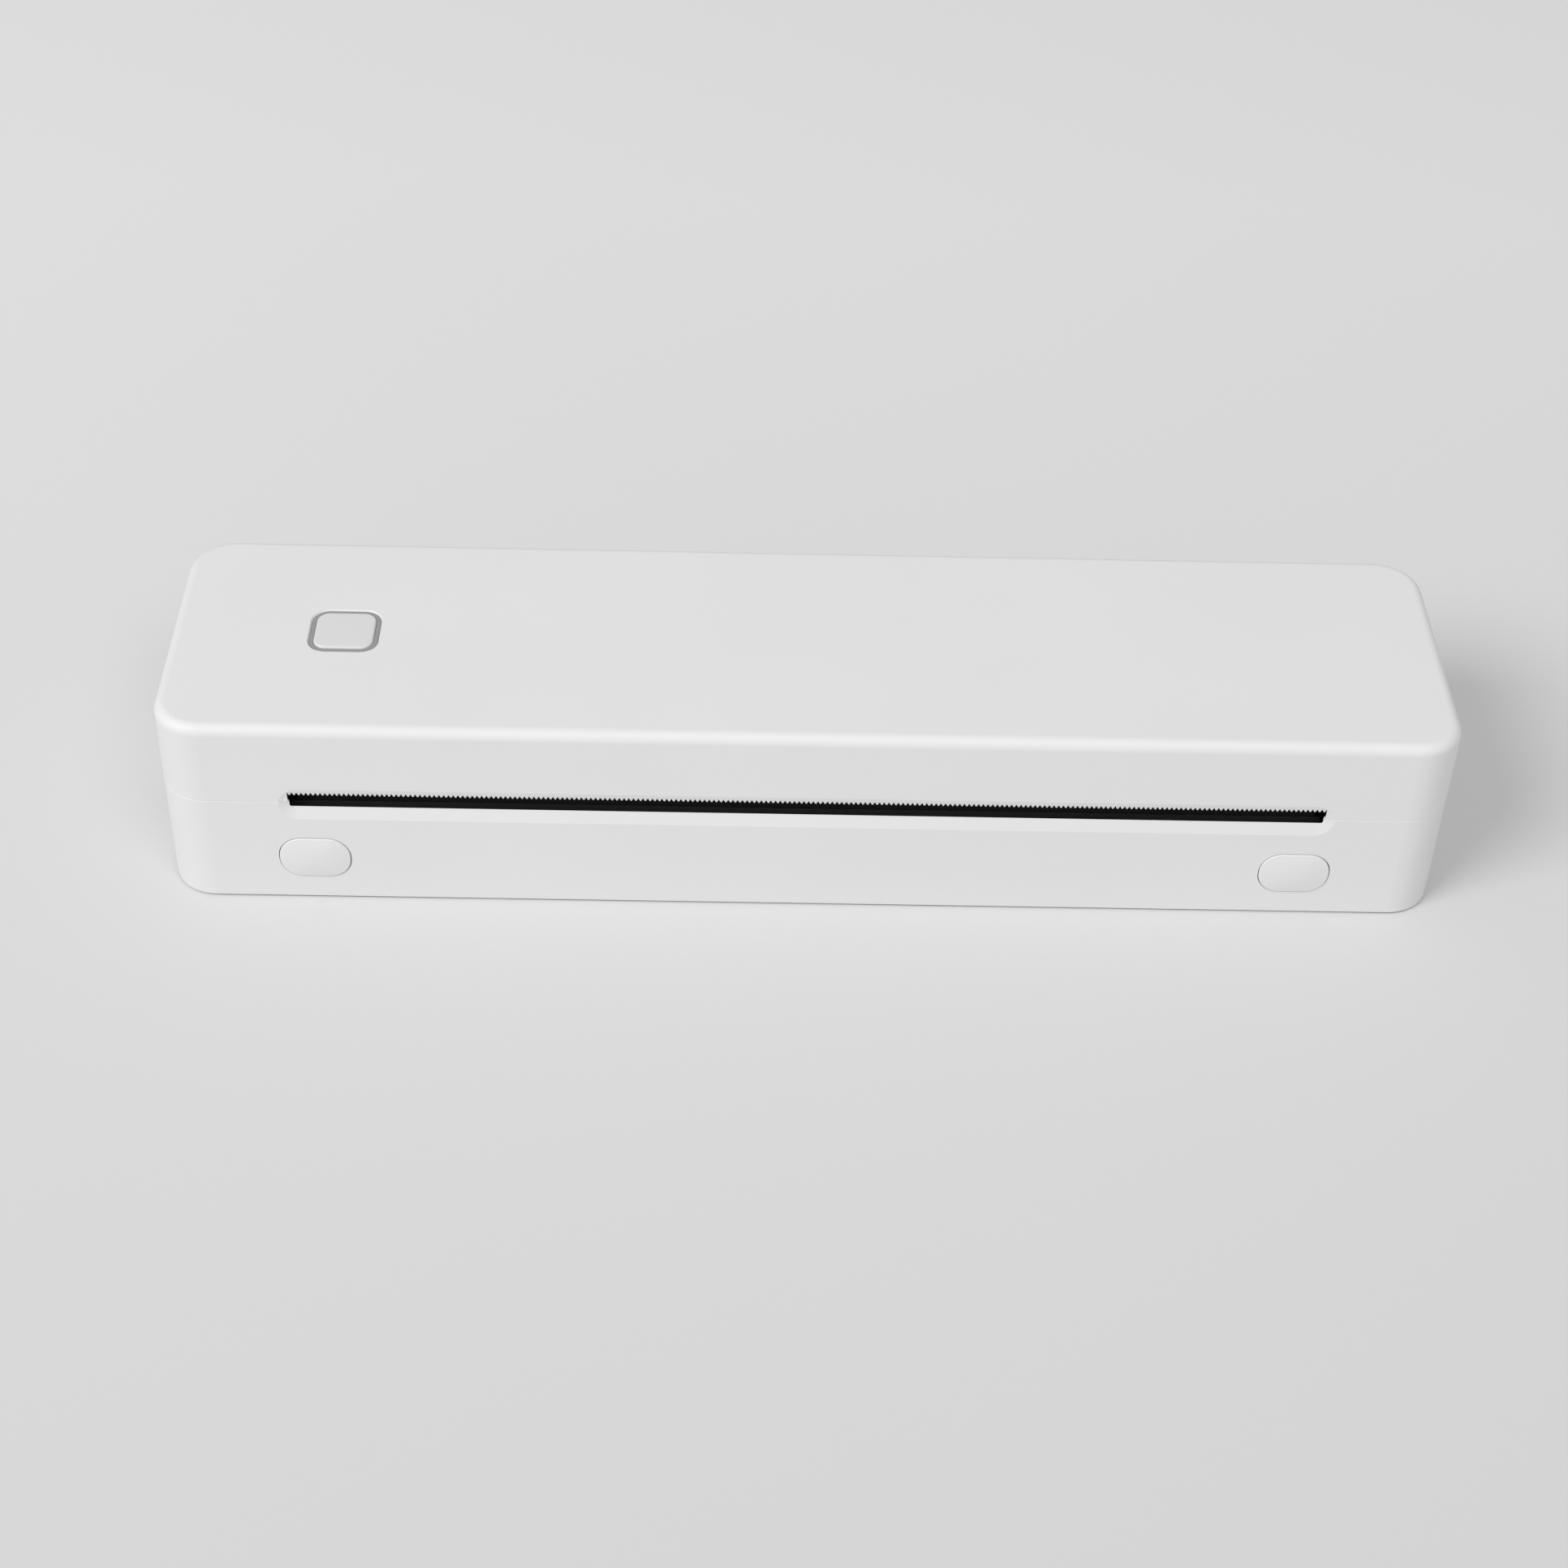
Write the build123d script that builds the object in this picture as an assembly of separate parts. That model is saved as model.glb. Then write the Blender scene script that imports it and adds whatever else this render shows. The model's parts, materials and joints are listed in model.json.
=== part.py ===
"""A4 portable thermal printer: a white casing whose hinged cover opens on two front latches.

Axes: X to the right, Y from the front to the back, Z up. The origin lies on the floor under the
centre of the casing. All sizes are in millimetres. Each sub-part has its own function, and the
last function writes one STEP file for each of them.
"""
from build123d import *
import os
from math import acos, atan2, cos, degrees, pi, radians, sin, sqrt, tan

# ---------------------------------------------------------------- casing
WALL = 2.2  # thickness of the moulded shells
CORNER_R = 10.0  # plan corners
TOP_EDGE_R = 2.3  # rounded rim of the cover
BOTTOM_T = 2.7  # floor of the base
BOTTOM_BEVEL = 0.3
SEAM_BEVEL = 0.12  # on both shells, so that the seam is a fine groove
SEAM_SLIT = 0.05  # the shells touch only on an inner land, with this gap outside it
SEAM_LAND = 0.8  # width of that land
WINDOW_BEVEL = 0.3  # rim of the power button's window
SEAM_Z = 27.1  # parting plane of cover and base, above the floor
FOOT_LIFT = 0.3  # the feet hold the casing this far off the floor
END_BAY = 23.3  # room beside each side plate, for gears on the right and boards on the left
REAR_SPACE = 5.85  # from the roll bay to the inside of the rear wall
BUTTON_STACK = 3.1  # room above the roll bay for the button board and its switch

# ---------------------------------------------------------------- paper path
SLOT_W = 220.0  # clear width, for 210 and 216 mm paper
ROLL_D = 30.0  # largest roll of paper
ROLL_CLEARANCE = 0.75  # around the roll
BAY_SKIN = 1.2  # wall of the roll bay
LIP_DROP = 1.6  # lower lip of the slot, below the seam
LIP_SIDE = 0.25  # the slot is this much shorter at each end below the seam
LIP_CORNER_R = 0.5
LIP_FLARE = 43.0  # the slot widens inward below the seam, in degrees
END_FLARE = 24.0  # and at its ends in the cover
RECESS_W = 224.0  # shallow trough round the slot
RECESS_H = 8.2
RECESS_DROP = 0.5  # its middle lies this far below the seam
RECESS_DEPTH = 0.8  # at the slot's lower lip
RECESS_TAPER = 74.5  # slope of its border in the base, in degrees
TOP_RECESS_DEPTH = 0.25  # at the teeth
TOP_RECESS_TAPER = 77.0  # slope of its border in the cover
DECK_DROP = 2.1  # top of the paper deck, below the seam
DECK_SKIN = 1.5
RIM_DROP = 0.3  # rear rim of the deck, below the seam
SIDE_PLATE = 2.0
TAB_W = 6.0  # tabs that join the deck to the end frames
TAB_GAP = 0.1

# ---------------------------------------------------------------- tear bar
TOOTH_PITCH = 1.0
TOOTH_ROOT_RISE = 2.55  # roots of the teeth, above the seam
TOOTH_H = 0.75
BAR_T = 1.2  # the bar's body behind the wall
BAR_H = 4.4
BAR_SIDE = 1.0  # the body reaches this far past the slot
BAR_WEB = 0.15  # plastic above the roots of the teeth, up to the cover's wall

# ---------------------------------------------------------------- platen roller and its gears
PLATEN_R = 6.0
PLATEN_SHAFT_R = 2.5
PLATEN_SETBACK = 11.0  # from the front face to the platen's axis
PLATEN_DROP = 6.3  # from the seam down to the axis
PLATEN_TO_ROLL = 31.0  # between the platen's axis and the roll's
PLATEN_SIDE_GAP = 1.0  # rubber to side plate
PLATEN_TROUGH_GAP = 0.6  # rubber to the trough round it
TROUGH_SKIN = 1.0
BUSH_R = 4.0
BUSH_FLANGE_R = 5.2
BUSH_FLANGE_T = 1.0
CLIP_R = 3.9
CLIP_T = 0.7
CLIP_GAP = 0.2
SHAFT_LEFT_TAIL = 4.0  # shaft beyond the left side plate
SHAFT_FLAT = 0.5  # depth of the flat that drives the gear
MODULE = 0.5
PRESSURE_ANGLE = 20.0
BACKLASH = 0.10  # taken off the thickness of each tooth
ROOT_CLEARANCE = 0.25  # of the module
PLATEN_TEETH = 28
IDLER_SMALL_TEETH = 12
IDLER_LARGE_TEETH = 44
PINION_TEETH = 14
GEAR_OFFSET = 6.0  # from the side plate to the platen gear
GEAR_W = 4.0
GEAR_HUB_R = 3.4
GEAR_HUB_START = 2.3  # from the side plate
LARGE_GEAR_GAP = 1.4  # between the platen gear and the large idler gear
LARGE_GEAR_W = 2.8
IDLER_FLOOR_GAP = 1.0
STUD_R = 1.5
STUD_COLLAR_R = 2.5
STUD_TAIL = 1.2
STUD_CLIP_R = 3.0
MOTOR_R = 9.9
MOTOR_FLOOR_GAP = 0.6
MOTOR_FLANGE_T = 0.8
MOTOR_SIDE_GAP = 0.6
MOTOR_GEAR_GAP = 1.4  # from the motor's flange to the large idler gear
MOTOR_BOSS_R = 3.0
MOTOR_BOSS_T = 0.6
MOTOR_SHAFT_R = 1.0
MOTOR_EAR_PITCH_R = 13.0
MOTOR_EAR_R = 2.8
MOTOR_EAR_ANGLE = 35.0
MOTOR_POST_R = 2.0

# ---------------------------------------------------------------- print head, carried by the cover
HEAD_GAP = 0.07  # heater line to platen
HEATER_T = 0.13
HEATER_W = 1.5
SUBSTRATE_T = 1.0
SUBSTRATE_Y = (-4.0, 4.5)  # front and rear edges, from the platen's axis
HEATSINK_T = 3.0
HEATSINK_Y = (-4.5, 13.7)
HEATSINK_RIB_Y = (9.0, 13.7)  # thick rear rail that holds the pivot pins
HEATSINK_RIB_RISE = 2.0
FIN_T = 1.0
FIN_RISE = 1.6
FIN_Y = (-4.0, 4.6)
HEAD_SIDE_GAP = 0.5
DRIVER_COVER_Y = (4.8, 10.0)
DRIVER_COVER_T = 1.1
DRIVER_COVER_SIDE = 8.0  # shorter than the head at each end
HEAD_PIVOT_Y = 11.5
HEAD_PIVOT_RISE = 2.5  # above the heat sink's underside
HEAD_PIN_R = 1.0
HEAD_PIN_BORE = 8.0
HEAD_CEILING_GAP = 5.0  # from the heat sink up to the liner, filled by the springs
HEAD_SPRING_X = (35.0, 75.0)
HEAD_SPRING_R = 1.75
HEAD_SPRING_WIRE = 0.45
HEAD_SPRING_TURNS = 4
SPIGOT_R = 1.2
SPIGOT_H = 1.2
CONNECTOR_SIZE = (24.0, 3.4, 1.8)

# ---------------------------------------------------------------- hinge
HINGE_R = 3.0
HINGE_GAP = 0.3
KNUCKLE_START = 4.0  # from the side plate
KNUCKLE_W = 6.0
KNUCKLE_SIDE_GAP = 0.3
KNUCKLE_CLEARANCE = 0.2  # knuckle radius, less than the barrel's
KNUCKLE_WEB_H = 7.0
PIN_R = 1.0
PIN_FIT = 0.02
PIN_RUN = 0.06
PIN_END_GAP = 0.4

# ---------------------------------------------------------------- latches
LATCH_INSET = 4.6  # button centre, from the end of the slot
LATCH_Z = 11.7
LATCH_W = 15.0
LATCH_H = 10.4
LATCH_R = 4.8
LATCH_PROUD = 0.3  # rim of the button, in front of the wall
LATCH_CROWN = 0.6  # rise of its face from the rim to the middle
LATCH_TAPER = 72.0  # slope of the face's border, in degrees
LATCH_GAP = 0.25
LATCH_PLATE_T = 0.8
LATCH_PLATE_LAP = 0.6
LATCH_WALL_GAP = 0.1
LATCH_TRAVEL = 1.5
ARM_START = 2.6  # from the side plate
ARM_W = 2.6
ARM_T = 1.4
ARM_FOOT_H = 4.4
CATCH_DROP = 2.7  # underside of the catch's foot, below the seam
CATCH_T = 0.8  # thickness of the foot
CATCH_REACH = 1.2  # from the front wall to the end of the foot
CATCH_SHEET = (0.25, 0.75)  # front and back of its tongue, from the front wall
CATCH_HEAD_Z = (0.4, 4.0)  # its head, above the seam
CATCH_JOG = 0.3
CATCH_SET_IN = 0.6  # depth of the head's pocket in the cover's front wall
CATCH_SIDE = 0.4
HOOK_GAP = 0.2
HOOK_CLEAR = 0.15  # between the hook's nose and the path of the catch
HOOK_REACH = 0.75
HOOK_H = 1.5
LATCH_SPRING_Z = 9.8
LATCH_SPRING_LEN = 8.0
LATCH_SPRING_R = 1.35
LATCH_SPRING_WIRE = 0.36
LATCH_SPRING_TURNS = 5
LATCH_SPIGOT_R = 0.9
LATCH_SPIGOT_H = 2.0
SPRING_RIB_T = 1.2
SPRING_RIB_W = 8.0
SPRING_RIB_GAP = 0.6

# ---------------------------------------------------------------- power button and light ring
BUTTON_FROM_END = 37.2  # button centre, from the left end of the casing
BUTTON_Y = 0.5
BUTTON_W = 12.85
BUTTON_D = 12.3
BUTTON_R = 2.8
BUTTON_PROUD = 0.3
BUTTON_TRAVEL = 0.4
BUTTON_FACE_T = 1.5
BUTTON_SKIRT_T = 1.0
BUTTON_FLANGE_T = 0.7
BUTTON_FLANGE_LAP = 1.2
BUTTON_BEVEL = 0.4
RING_W = 1.0
RING_GAP = 0.08
RING_DROP = 0.2  # top of the ring, below the cover's
RING_FLANGE_T = 0.7
RING_FLANGE_LAP = 1.2
BOARD_T = 0.8
BOARD_GAP = 0.1
POST_GAP = 0.3  # from the ring's flange to the posts that hold the board
SWITCH_SIZE = 6.0
SWITCH_T = 1.2
PLUNGER_R = 1.5
PLUNGER_T = 0.6
PLUNGER_RISE = 0.3  # of the plunger's top above the switch
PLUNGER_GAP = 0.1
LAMP_SIZE = (1.6, 0.8, 0.5)
LAMP_GAP = 0.3
BUTTON_GAP = 0.2  # between the cap's flange and the light ring's
BOARD_MARGIN = 0.8

# ---------------------------------------------------------------- base: floor, boards, battery
BATTERY_T = 4.4
BATTERY_GAP = 0.4
BATTERY_W = 30.0
BATTERY_CORNER_R = 1.5
BATTERY_SPACING = 8.0  # between the two cells, where their board lies
BATTERY_BOARD_GAP = 6.5  # from the main board to the left cell
BATTERY_END_GAP = 6.0  # from the right cell to the side plate
PACK_BOARD_W = 3.0
PACK_BOARD_L = 24.0
PACK_BOARD_T = 1.0
FENCE_T = 1.0
FENCE_H = 2.0
FENCE_GAP = 0.3
MAIN_BOARD_L = 64.0
MAIN_BOARD_W = 30.0
MAIN_BOARD_T = 1.2
MAIN_BOARD_Y = -2.0
MAIN_BOARD_WALL_GAP = 0.8
STANDOFF_H = 1.6
STANDOFF_W = 4.8
BOARD_HOLE_INSET = 3.5
CHIPS = (  # share of the board's length from its inner end, place across it, length, width and height
    (0.27, 1.0, 10.0, 10.0, 1.1),  # processor
    (0.55, -4.5, 5.0, 7.0, 1.1),  # motor driver
    (0.14, -8.0, 2.6, 6.0, 2.0),  # battery socket
    (0.76, -10.5, 10.0, 3.4, 2.6),  # print head socket
    (0.78, 2.0, 4.0, 4.0, 1.8),  # radio
)
USB_MOUTH_W = 8.9
USB_MOUTH_H = 3.2
USB_LEN = 7.6
USB_SKIN = 0.3
USB_BACK_T = 1.0
USB_TONGUE_W = 6.0
USB_TONGUE_T = 0.6
USB_SET_BACK = 0.3  # from the casing's end to the socket's mouth
USB_PORT_GAP = 0.3
CAPACITOR_R = 4.0
CAPACITOR_H = 10.0
CAPACITOR_INSET = (13.0, 6.0)  # from the board's outer end and its rear edge
FRAME_LUG_X = 3.5  # from the side plate to the lug's screw
FRAME_LUG_W = 6.4
FRAME_LUG_T = 1.5
FRAME_LUG_FRONT = 9.0  # front screws, from the front face
FRAME_LUG_REAR = 13.5  # rear screws, from the rear face
FRAME_POST_W = 6.0
FOOT_R = 6.0
FOOT_SET_IN = 0.7  # depth of the feet's pockets in the bottom
FOOT_FIT = 0.1
FOOT_INSET_X = 22.0
FOOT_INSET_Y = 13.0
SENSOR_SIZE = (6.0, 4.0, 3.2)
SENSOR_FLANGE = 1.0
SENSOR_X = -16.0
SENSOR_GAP = 0.15
COVER_SWITCH_SIZE = (8.0, 5.0, 6.0)
COVER_SWITCH_INSET_X = 8.0
COVER_SWITCH_Y = -22.0
COVER_SWITCH_DROP = 2.0

# ---------------------------------------------------------------- cover: liner fixings
CEILING_T = 1.2
LINER_FRONT_RISE = 1.1  # lowest edge of the liner in front of the bay, above the seam
LINER_WALL_GAP = 0.3
LINER_POST_W = 6.0
LINER_SCREW_X = (40.0, 95.0)
LINER_SCREW_Y = 5.5  # from the platen's axis
EAR_T = 2.0
EAR_X = 6.0
EAR_W = 6.8
EAR_FROM_REAR = 14.5
EAR_RISE = 6.9

# ---------------------------------------------------------------- small screws
SCREW_R = 1.2
SCREW_HEAD_R = 2.2
SCREW_HEAD_T = 1.4
SCREW_LEN = 6.0
SCREW_FIT = 0.05  # screw to its pilot hole
SCREW_PASS = 0.25  # screw to the hole that it passes through
SMALL_SCREW_R = 0.9
SMALL_HEAD_R = 1.7
SMALL_HEAD_T = 0.9
SMALL_SCREW_LEN = 3.0
SCREW_SIDES = 8  # screws and their holes are plain prisms

COIL_STEPS = 6  # straight lengths in one turn of a spring
COIL_CLOSED = 1.25  # pitch of the closed end turns, as a multiple of the wire
SPIGOT_SIDES = 6
THROUGH = 1.0  # how far a cutting tool runs past what it cuts

# ---------------------------------------------------------------- derived places
BAY_R = ROLL_D / 2 + ROLL_CLEARANCE
BAY_OUT_R = BAY_R + BAY_SKIN
WIDTH = SLOT_W + 2 * (SIDE_PLATE + END_BAY + WALL)
DEPTH = PLATEN_SETBACK + PLATEN_TO_ROLL + BAY_OUT_R + REAR_SPACE + WALL
FRONT = -DEPTH / 2
REAR = DEPTH / 2
FRONT_IN = FRONT + WALL
REAR_IN = REAR - WALL
END_IN = WIDTH / 2 - WALL
FLOOR_TOP = FOOT_LIFT + BOTTOM_T
DECK_UNDER = FLOOR_TOP + BATTERY_T + BATTERY_GAP
BAY_Z = DECK_UNDER + BAY_OUT_R
CEILING = BAY_Z + BAY_OUT_R + BUTTON_STACK  # inside of the cover's top
HEIGHT = CEILING + WALL
PLATEN_Y = FRONT + PLATEN_SETBACK
PLATEN_Z = SEAM_Z - PLATEN_DROP
BAY_Y = PLATEN_Y + PLATEN_TO_ROLL
PLATE_IN = SLOT_W / 2
PLATE_OUT = PLATE_IN + SIDE_PLATE
RECESS_Z = SEAM_Z - RECESS_DROP
SLOT_FLOOR_Y = FRONT + RECESS_DEPTH
TEETH_Y = FRONT + TOP_RECESS_DEPTH
LIP_Z = SEAM_Z - LIP_DROP
LIP_BACK_Z = LIP_Z - (FRONT_IN - SLOT_FLOOR_Y) * tan(radians(LIP_FLARE))  # rear edge of the lip
TOOTH_ROOT_Z = SEAM_Z + TOOTH_ROOT_RISE
BAR_SEAT_Z = TOOTH_ROOT_Z + BAR_WEB  # lower edge of the cover's wall above the slot
DECK_Z = SEAM_Z - DECK_DROP
RIM_Z = SEAM_Z - RIM_DROP
HINGE_Y = REAR - HINGE_R
HINGE_Z = SEAM_Z
HINGE_FREE_R = HINGE_R + HINGE_GAP
HINGE_END = WIDTH / 2 - CORNER_R
LATCH_X = PLATE_IN - LATCH_INSET
LATCH_PLATE_Y = FRONT_IN + LATCH_WALL_GAP
LATCH_BACK_Y = LATCH_PLATE_Y + LATCH_PLATE_T
ARM_X = PLATE_OUT + ARM_START
CATCH_Y = FRONT_IN + CATCH_REACH
CATCH_Z = SEAM_Z - CATCH_DROP
NOSE_Y = CATCH_Y + HOOK_CLEAR
ARM_Y = NOSE_Y + HOOK_REACH
HOOK_Z = CATCH_Z + CATCH_T + HOOK_GAP
SPRING_SEAT_Y = LATCH_BACK_Y + LATCH_SPRING_LEN
TROUGH_R = PLATEN_R + PLATEN_TROUGH_GAP
TROUGH_OUT_R = TROUGH_R + TROUGH_SKIN
BUTTON_X = BUTTON_FROM_END - WIDTH / 2
HEAD_Z = PLATEN_Z + PLATEN_R + HEAD_GAP + HEATER_T  # underside of the ceramic strip
HEATSINK_Z = HEAD_Z + SUBSTRATE_T
HEATSINK_TOP = HEATSINK_Z + HEATSINK_T
HEAD_CEILING = HEATSINK_TOP + HEAD_CEILING_GAP
PIVOT_Y = PLATEN_Y + HEAD_PIVOT_Y
PIVOT_Z = HEATSINK_Z + HEAD_PIVOT_RISE
HEAD_HALF = PLATE_IN - HEAD_SIDE_GAP
LINER_REAR_Z = HINGE_Z + HINGE_FREE_R
BOARD_Z = BAY_Z + BAY_OUT_R + BOARD_GAP  # underside of the button board
BOARD_TOP = BOARD_Z + BOARD_T
POST_REACH = BUTTON_W / 2 + RING_W + RING_FLANGE_LAP + POST_GAP + LINER_POST_W / 2
LAMP_REACH = BUTTON_D / 2 + BUTTON_FLANGE_LAP + LAMP_GAP + LAMP_SIZE[1] / 2
PLUNGER_TOP = BOARD_TOP + SWITCH_T + PLUNGER_RISE
USB_Z = FLOOR_TOP + STANDOFF_H + MAIN_BOARD_T + USB_MOUTH_H / 2
EAR_Z = SEAM_Z + EAR_RISE
BOARD_LEFT = MAIN_BOARD_WALL_GAP - END_IN
BOARD_RIGHT = BOARD_LEFT + MAIN_BOARD_L
BATTERY_LEFT = BOARD_RIGHT + BATTERY_BOARD_GAP
BATTERY_RIGHT = PLATE_IN - BATTERY_END_GAP
BATTERY_L = (BATTERY_RIGHT - BATTERY_LEFT - BATTERY_SPACING) / 2
BATTERY_X = (BATTERY_LEFT + BATTERY_RIGHT) / 2
SENSOR_Y = (PLATEN_Y + TROUGH_OUT_R + BAY_Y - BAY_OUT_R) / 2
LATCH_LAP = LATCH_GAP + LATCH_PLATE_LAP  # of the latch's plate round its button
LATCH_FREE_Y = LATCH_BACK_Y + LATCH_TRAVEL + LATCH_GAP  # behind the pressed latch


def pitch_radius(teeth):
    return MODULE * teeth / 2


def outer_radius(teeth):
    return pitch_radius(teeth) + MODULE


GEAR_X = PLATE_OUT + GEAR_OFFSET
GEAR_END = GEAR_X + GEAR_W
LARGE_X = GEAR_END + LARGE_GEAR_GAP
LARGE_END = LARGE_X + LARGE_GEAR_W
FLANGE_X = LARGE_X - MOTOR_GEAR_GAP  # outer face of the motor's flange
IDLER_Z = FLOOR_TOP + IDLER_FLOOR_GAP + outer_radius(IDLER_LARGE_TEETH)
IDLER_REACH = pitch_radius(PLATEN_TEETH) + pitch_radius(IDLER_SMALL_TEETH)
IDLER_Y = PLATEN_Y + sqrt(IDLER_REACH**2 - (PLATEN_Z - IDLER_Z) ** 2)
MOTOR_Z = FLOOR_TOP + MOTOR_FLOOR_GAP + MOTOR_R
MOTOR_REACH = pitch_radius(IDLER_LARGE_TEETH) + pitch_radius(PINION_TEETH)
MOTOR_Y = IDLER_Y + sqrt(MOTOR_REACH**2 - (IDLER_Z - MOTOR_Z) ** 2)


# ---------------------------------------------------------------- shared shapes
BOTTOM_UP = (Align.CENTER, Align.CENTER, Align.MIN)
TOP_DOWN = (Align.CENTER, Align.CENTER, Align.MAX)


def block(x0, x1, y0, y1, z0, z1):
    """A box between three pairs of planes."""
    return Pos(x0, y0, z0) * Box(x1 - x0, y1 - y0, z1 - z0, align=(Align.MIN,) * 3)


def slab(x, y, z0, z1, width, depth):
    """A box centred on x and y."""
    return Pos(x, y, z0) * Box(width, depth, z1 - z0, align=BOTTOM_UP)


def bar(radius, length, sides):
    """A cylinder on the origin along Z, or a regular prism where a number of sides is given."""
    if sides:
        return extrude(RegularPolygon(radius, sides), amount=length)
    return Cylinder(radius, length, align=BOTTOM_UP)


def rod_x(x0, x1, y, z, radius, sides=0):
    return Location((x0, y, z), (0, 90, 0)) * bar(radius, x1 - x0, sides)


def rod_y(y0, y1, x, z, radius, sides=0):
    return Location((x, y0, z), (-90, 0, 0)) * bar(radius, y1 - y0, sides)


def rod_z(z0, z1, x, y, radius, sides=0):
    return Pos(x, y, z0) * bar(radius, z1 - z0, sides)


def side_plane(x):
    """A sketch plane across X, whose own axes are Y and Z."""
    return Plane(origin=(x, 0, 0), x_dir=(0, 1, 0), z_dir=(1, 0, 0))


def front_plane(y):
    """A sketch plane across Y, whose own axes are X and Z; extrusion runs to the front."""
    return Plane(origin=(0, y, 0), x_dir=(1, 0, 0), z_dir=(0, -1, 0))


def along_x(sketch, x0, x1):
    """Extrude a sketch drawn in Y and Z from x0 to x1."""
    return extrude(side_plane(x0) * sketch, amount=x1 - x0)


def along_y(sketch, y0, y1):
    """Extrude a sketch drawn in X and Z from y1 forward to y0."""
    return extrude(front_plane(y1) * sketch, amount=y1 - y0)


def rect(u0, u1, v0, v1):
    """A rectangle between two pairs of lines, in a sketch."""
    return Pos((u0 + u1) / 2, (v0 + v1) / 2) * Rectangle(u1 - u0, v1 - v0)


def disc(u, v, radius):
    return Pos(u, v) * Circle(radius)


def rounded_plate(x, y, z0, z1, width, depth, radius):
    """A plate with rounded plan corners, centred on x and y."""
    return extrude(Pos(x, y, z0) * RectangleRounded(width, depth, radius), amount=z1 - z0)


def both_sides(piece):
    """The piece and its mirror image in the middle plane of the printer."""
    return piece + mirror(piece, Plane.YZ)


def group(pieces):
    """Separate solids that share one node."""
    return Compound(children=[solid for piece in pieces for solid in piece.solids()])


def screw_z(x, y, seat_z, up, radius=SCREW_R, head_r=SCREW_HEAD_R, head_t=SCREW_HEAD_T, length=SCREW_LEN):
    """A pan-head screw on a seat. Up is +1 where the head lies above the seat, and -1 below it."""
    shank = rod_z(*sorted((seat_z, seat_z - up * length)), x, y, radius, SCREW_SIDES)
    return shank + rod_z(*sorted((seat_z, seat_z + up * head_t)), x, y, head_r, SCREW_SIDES)


def small_screw(x, y, z, way):
    return screw_z(x, y, z, way, SMALL_SCREW_R, SMALL_HEAD_R, SMALL_HEAD_T, SMALL_SCREW_LEN)


def screw_hole(z0, z1, x, y, radius=SCREW_R, gap=SCREW_FIT):
    """A pilot hole for a screw, or with a wider gap the hole that the screw passes through."""
    return rod_z(z0, z1, x, y, radius + gap, SCREW_SIDES)


def coil(length, radius, wire, turns):
    """A compression spring of square wire along Z from 0 to length, with one closed turn at each end."""
    closed = COIL_CLOSED * wire
    pitch = (length - wire - 2 * closed) / (turns - 2)
    sections = []
    for step in range(turns * COIL_STEPS + 1):
        turn = step / COIL_STEPS
        angle = 2 * pi * turn
        end_turns = min(turn, 1) + max(turn - turns + 1, 0)
        rise = closed * end_turns + pitch * min(max(turn - 1, 0), turns - 2)
        centre = (radius * cos(angle), radius * sin(angle), wire / 2 + rise)
        across = Plane(origin=centre, x_dir=(cos(angle), sin(angle), 0), z_dir=(-sin(angle), cos(angle), 0))
        sections.append(across * Rectangle(wire, wire))
    return loft(sections, ruled=True)


def casing_block(z0, z1):
    return rounded_plate(0, 0, z0, z1, WIDTH, DEPTH, CORNER_R)


def casing_core(z0, z1):
    return rounded_plate(0, 0, z0, z1, WIDTH - 2 * WALL, DEPTH - 2 * WALL, CORNER_R - WALL)


def slot_recess(depth, taper):
    """The shallow trough round the paper slot, which is deeper in the base than in the cover."""
    mouth = Plane(origin=(0, FRONT, RECESS_Z), x_dir=(1, 0, 0), z_dir=(0, 1, 0))
    return extrude(mouth * SlotOverall(RECESS_W, RECESS_H), amount=depth, taper=taper)


def base_mouth():
    """The slot's lower part. Its lip and ends fall away behind the floor of the trough."""
    top = SEAM_Z + WALL
    outline = RectangleRounded(SLOT_W - 2 * LIP_SIDE, top - LIP_Z, LIP_CORNER_R)
    mouth = along_y(Pos(0, (top + LIP_Z) / 2) * outline, FRONT - THROUGH, SLOT_FLOOR_Y)
    inward = Plane(origin=(0, SLOT_FLOOR_Y, (top + LIP_Z) / 2), x_dir=(1, 0, 0), z_dir=(0, 1, 0))
    return mouth + extrude(inward * outline, amount=FRONT_IN - SLOT_FLOOR_Y + THROUGH, taper=-LIP_FLARE)


def cover_mouth():
    """The slot's upper part, up to the tear bar's seat. Its ends widen inward."""
    half = SLOT_W / 2
    back = FRONT_IN + THROUGH
    wide = half + (back - TEETH_Y) * tan(radians(END_FLARE))
    outline = [(-half, FRONT - THROUGH), (half, FRONT - THROUGH), (half, TEETH_Y), (wide, back)]
    outline += [(-wide, back), (-half, TEETH_Y)]
    plan = make_face(Polyline(*outline, close=True))
    return extrude(Pos(0, 0, SEAM_Z - THROUGH) * plan, amount=BAR_SEAT_Z - SEAM_Z + THROUGH, dir=(0, 0, 1))


def seam_slit():
    """The fine gap round the shells, outside the land on which they meet."""
    width, depth = WIDTH - 2 * (WALL - SEAM_LAND), DEPTH - 2 * (WALL - SEAM_LAND)
    land = rounded_plate(0, 0, SEAM_Z, SEAM_Z + SEAM_SLIT, width, depth, CORNER_R - WALL + SEAM_LAND)
    return casing_block(SEAM_Z, SEAM_Z + SEAM_SLIT) - land


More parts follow.
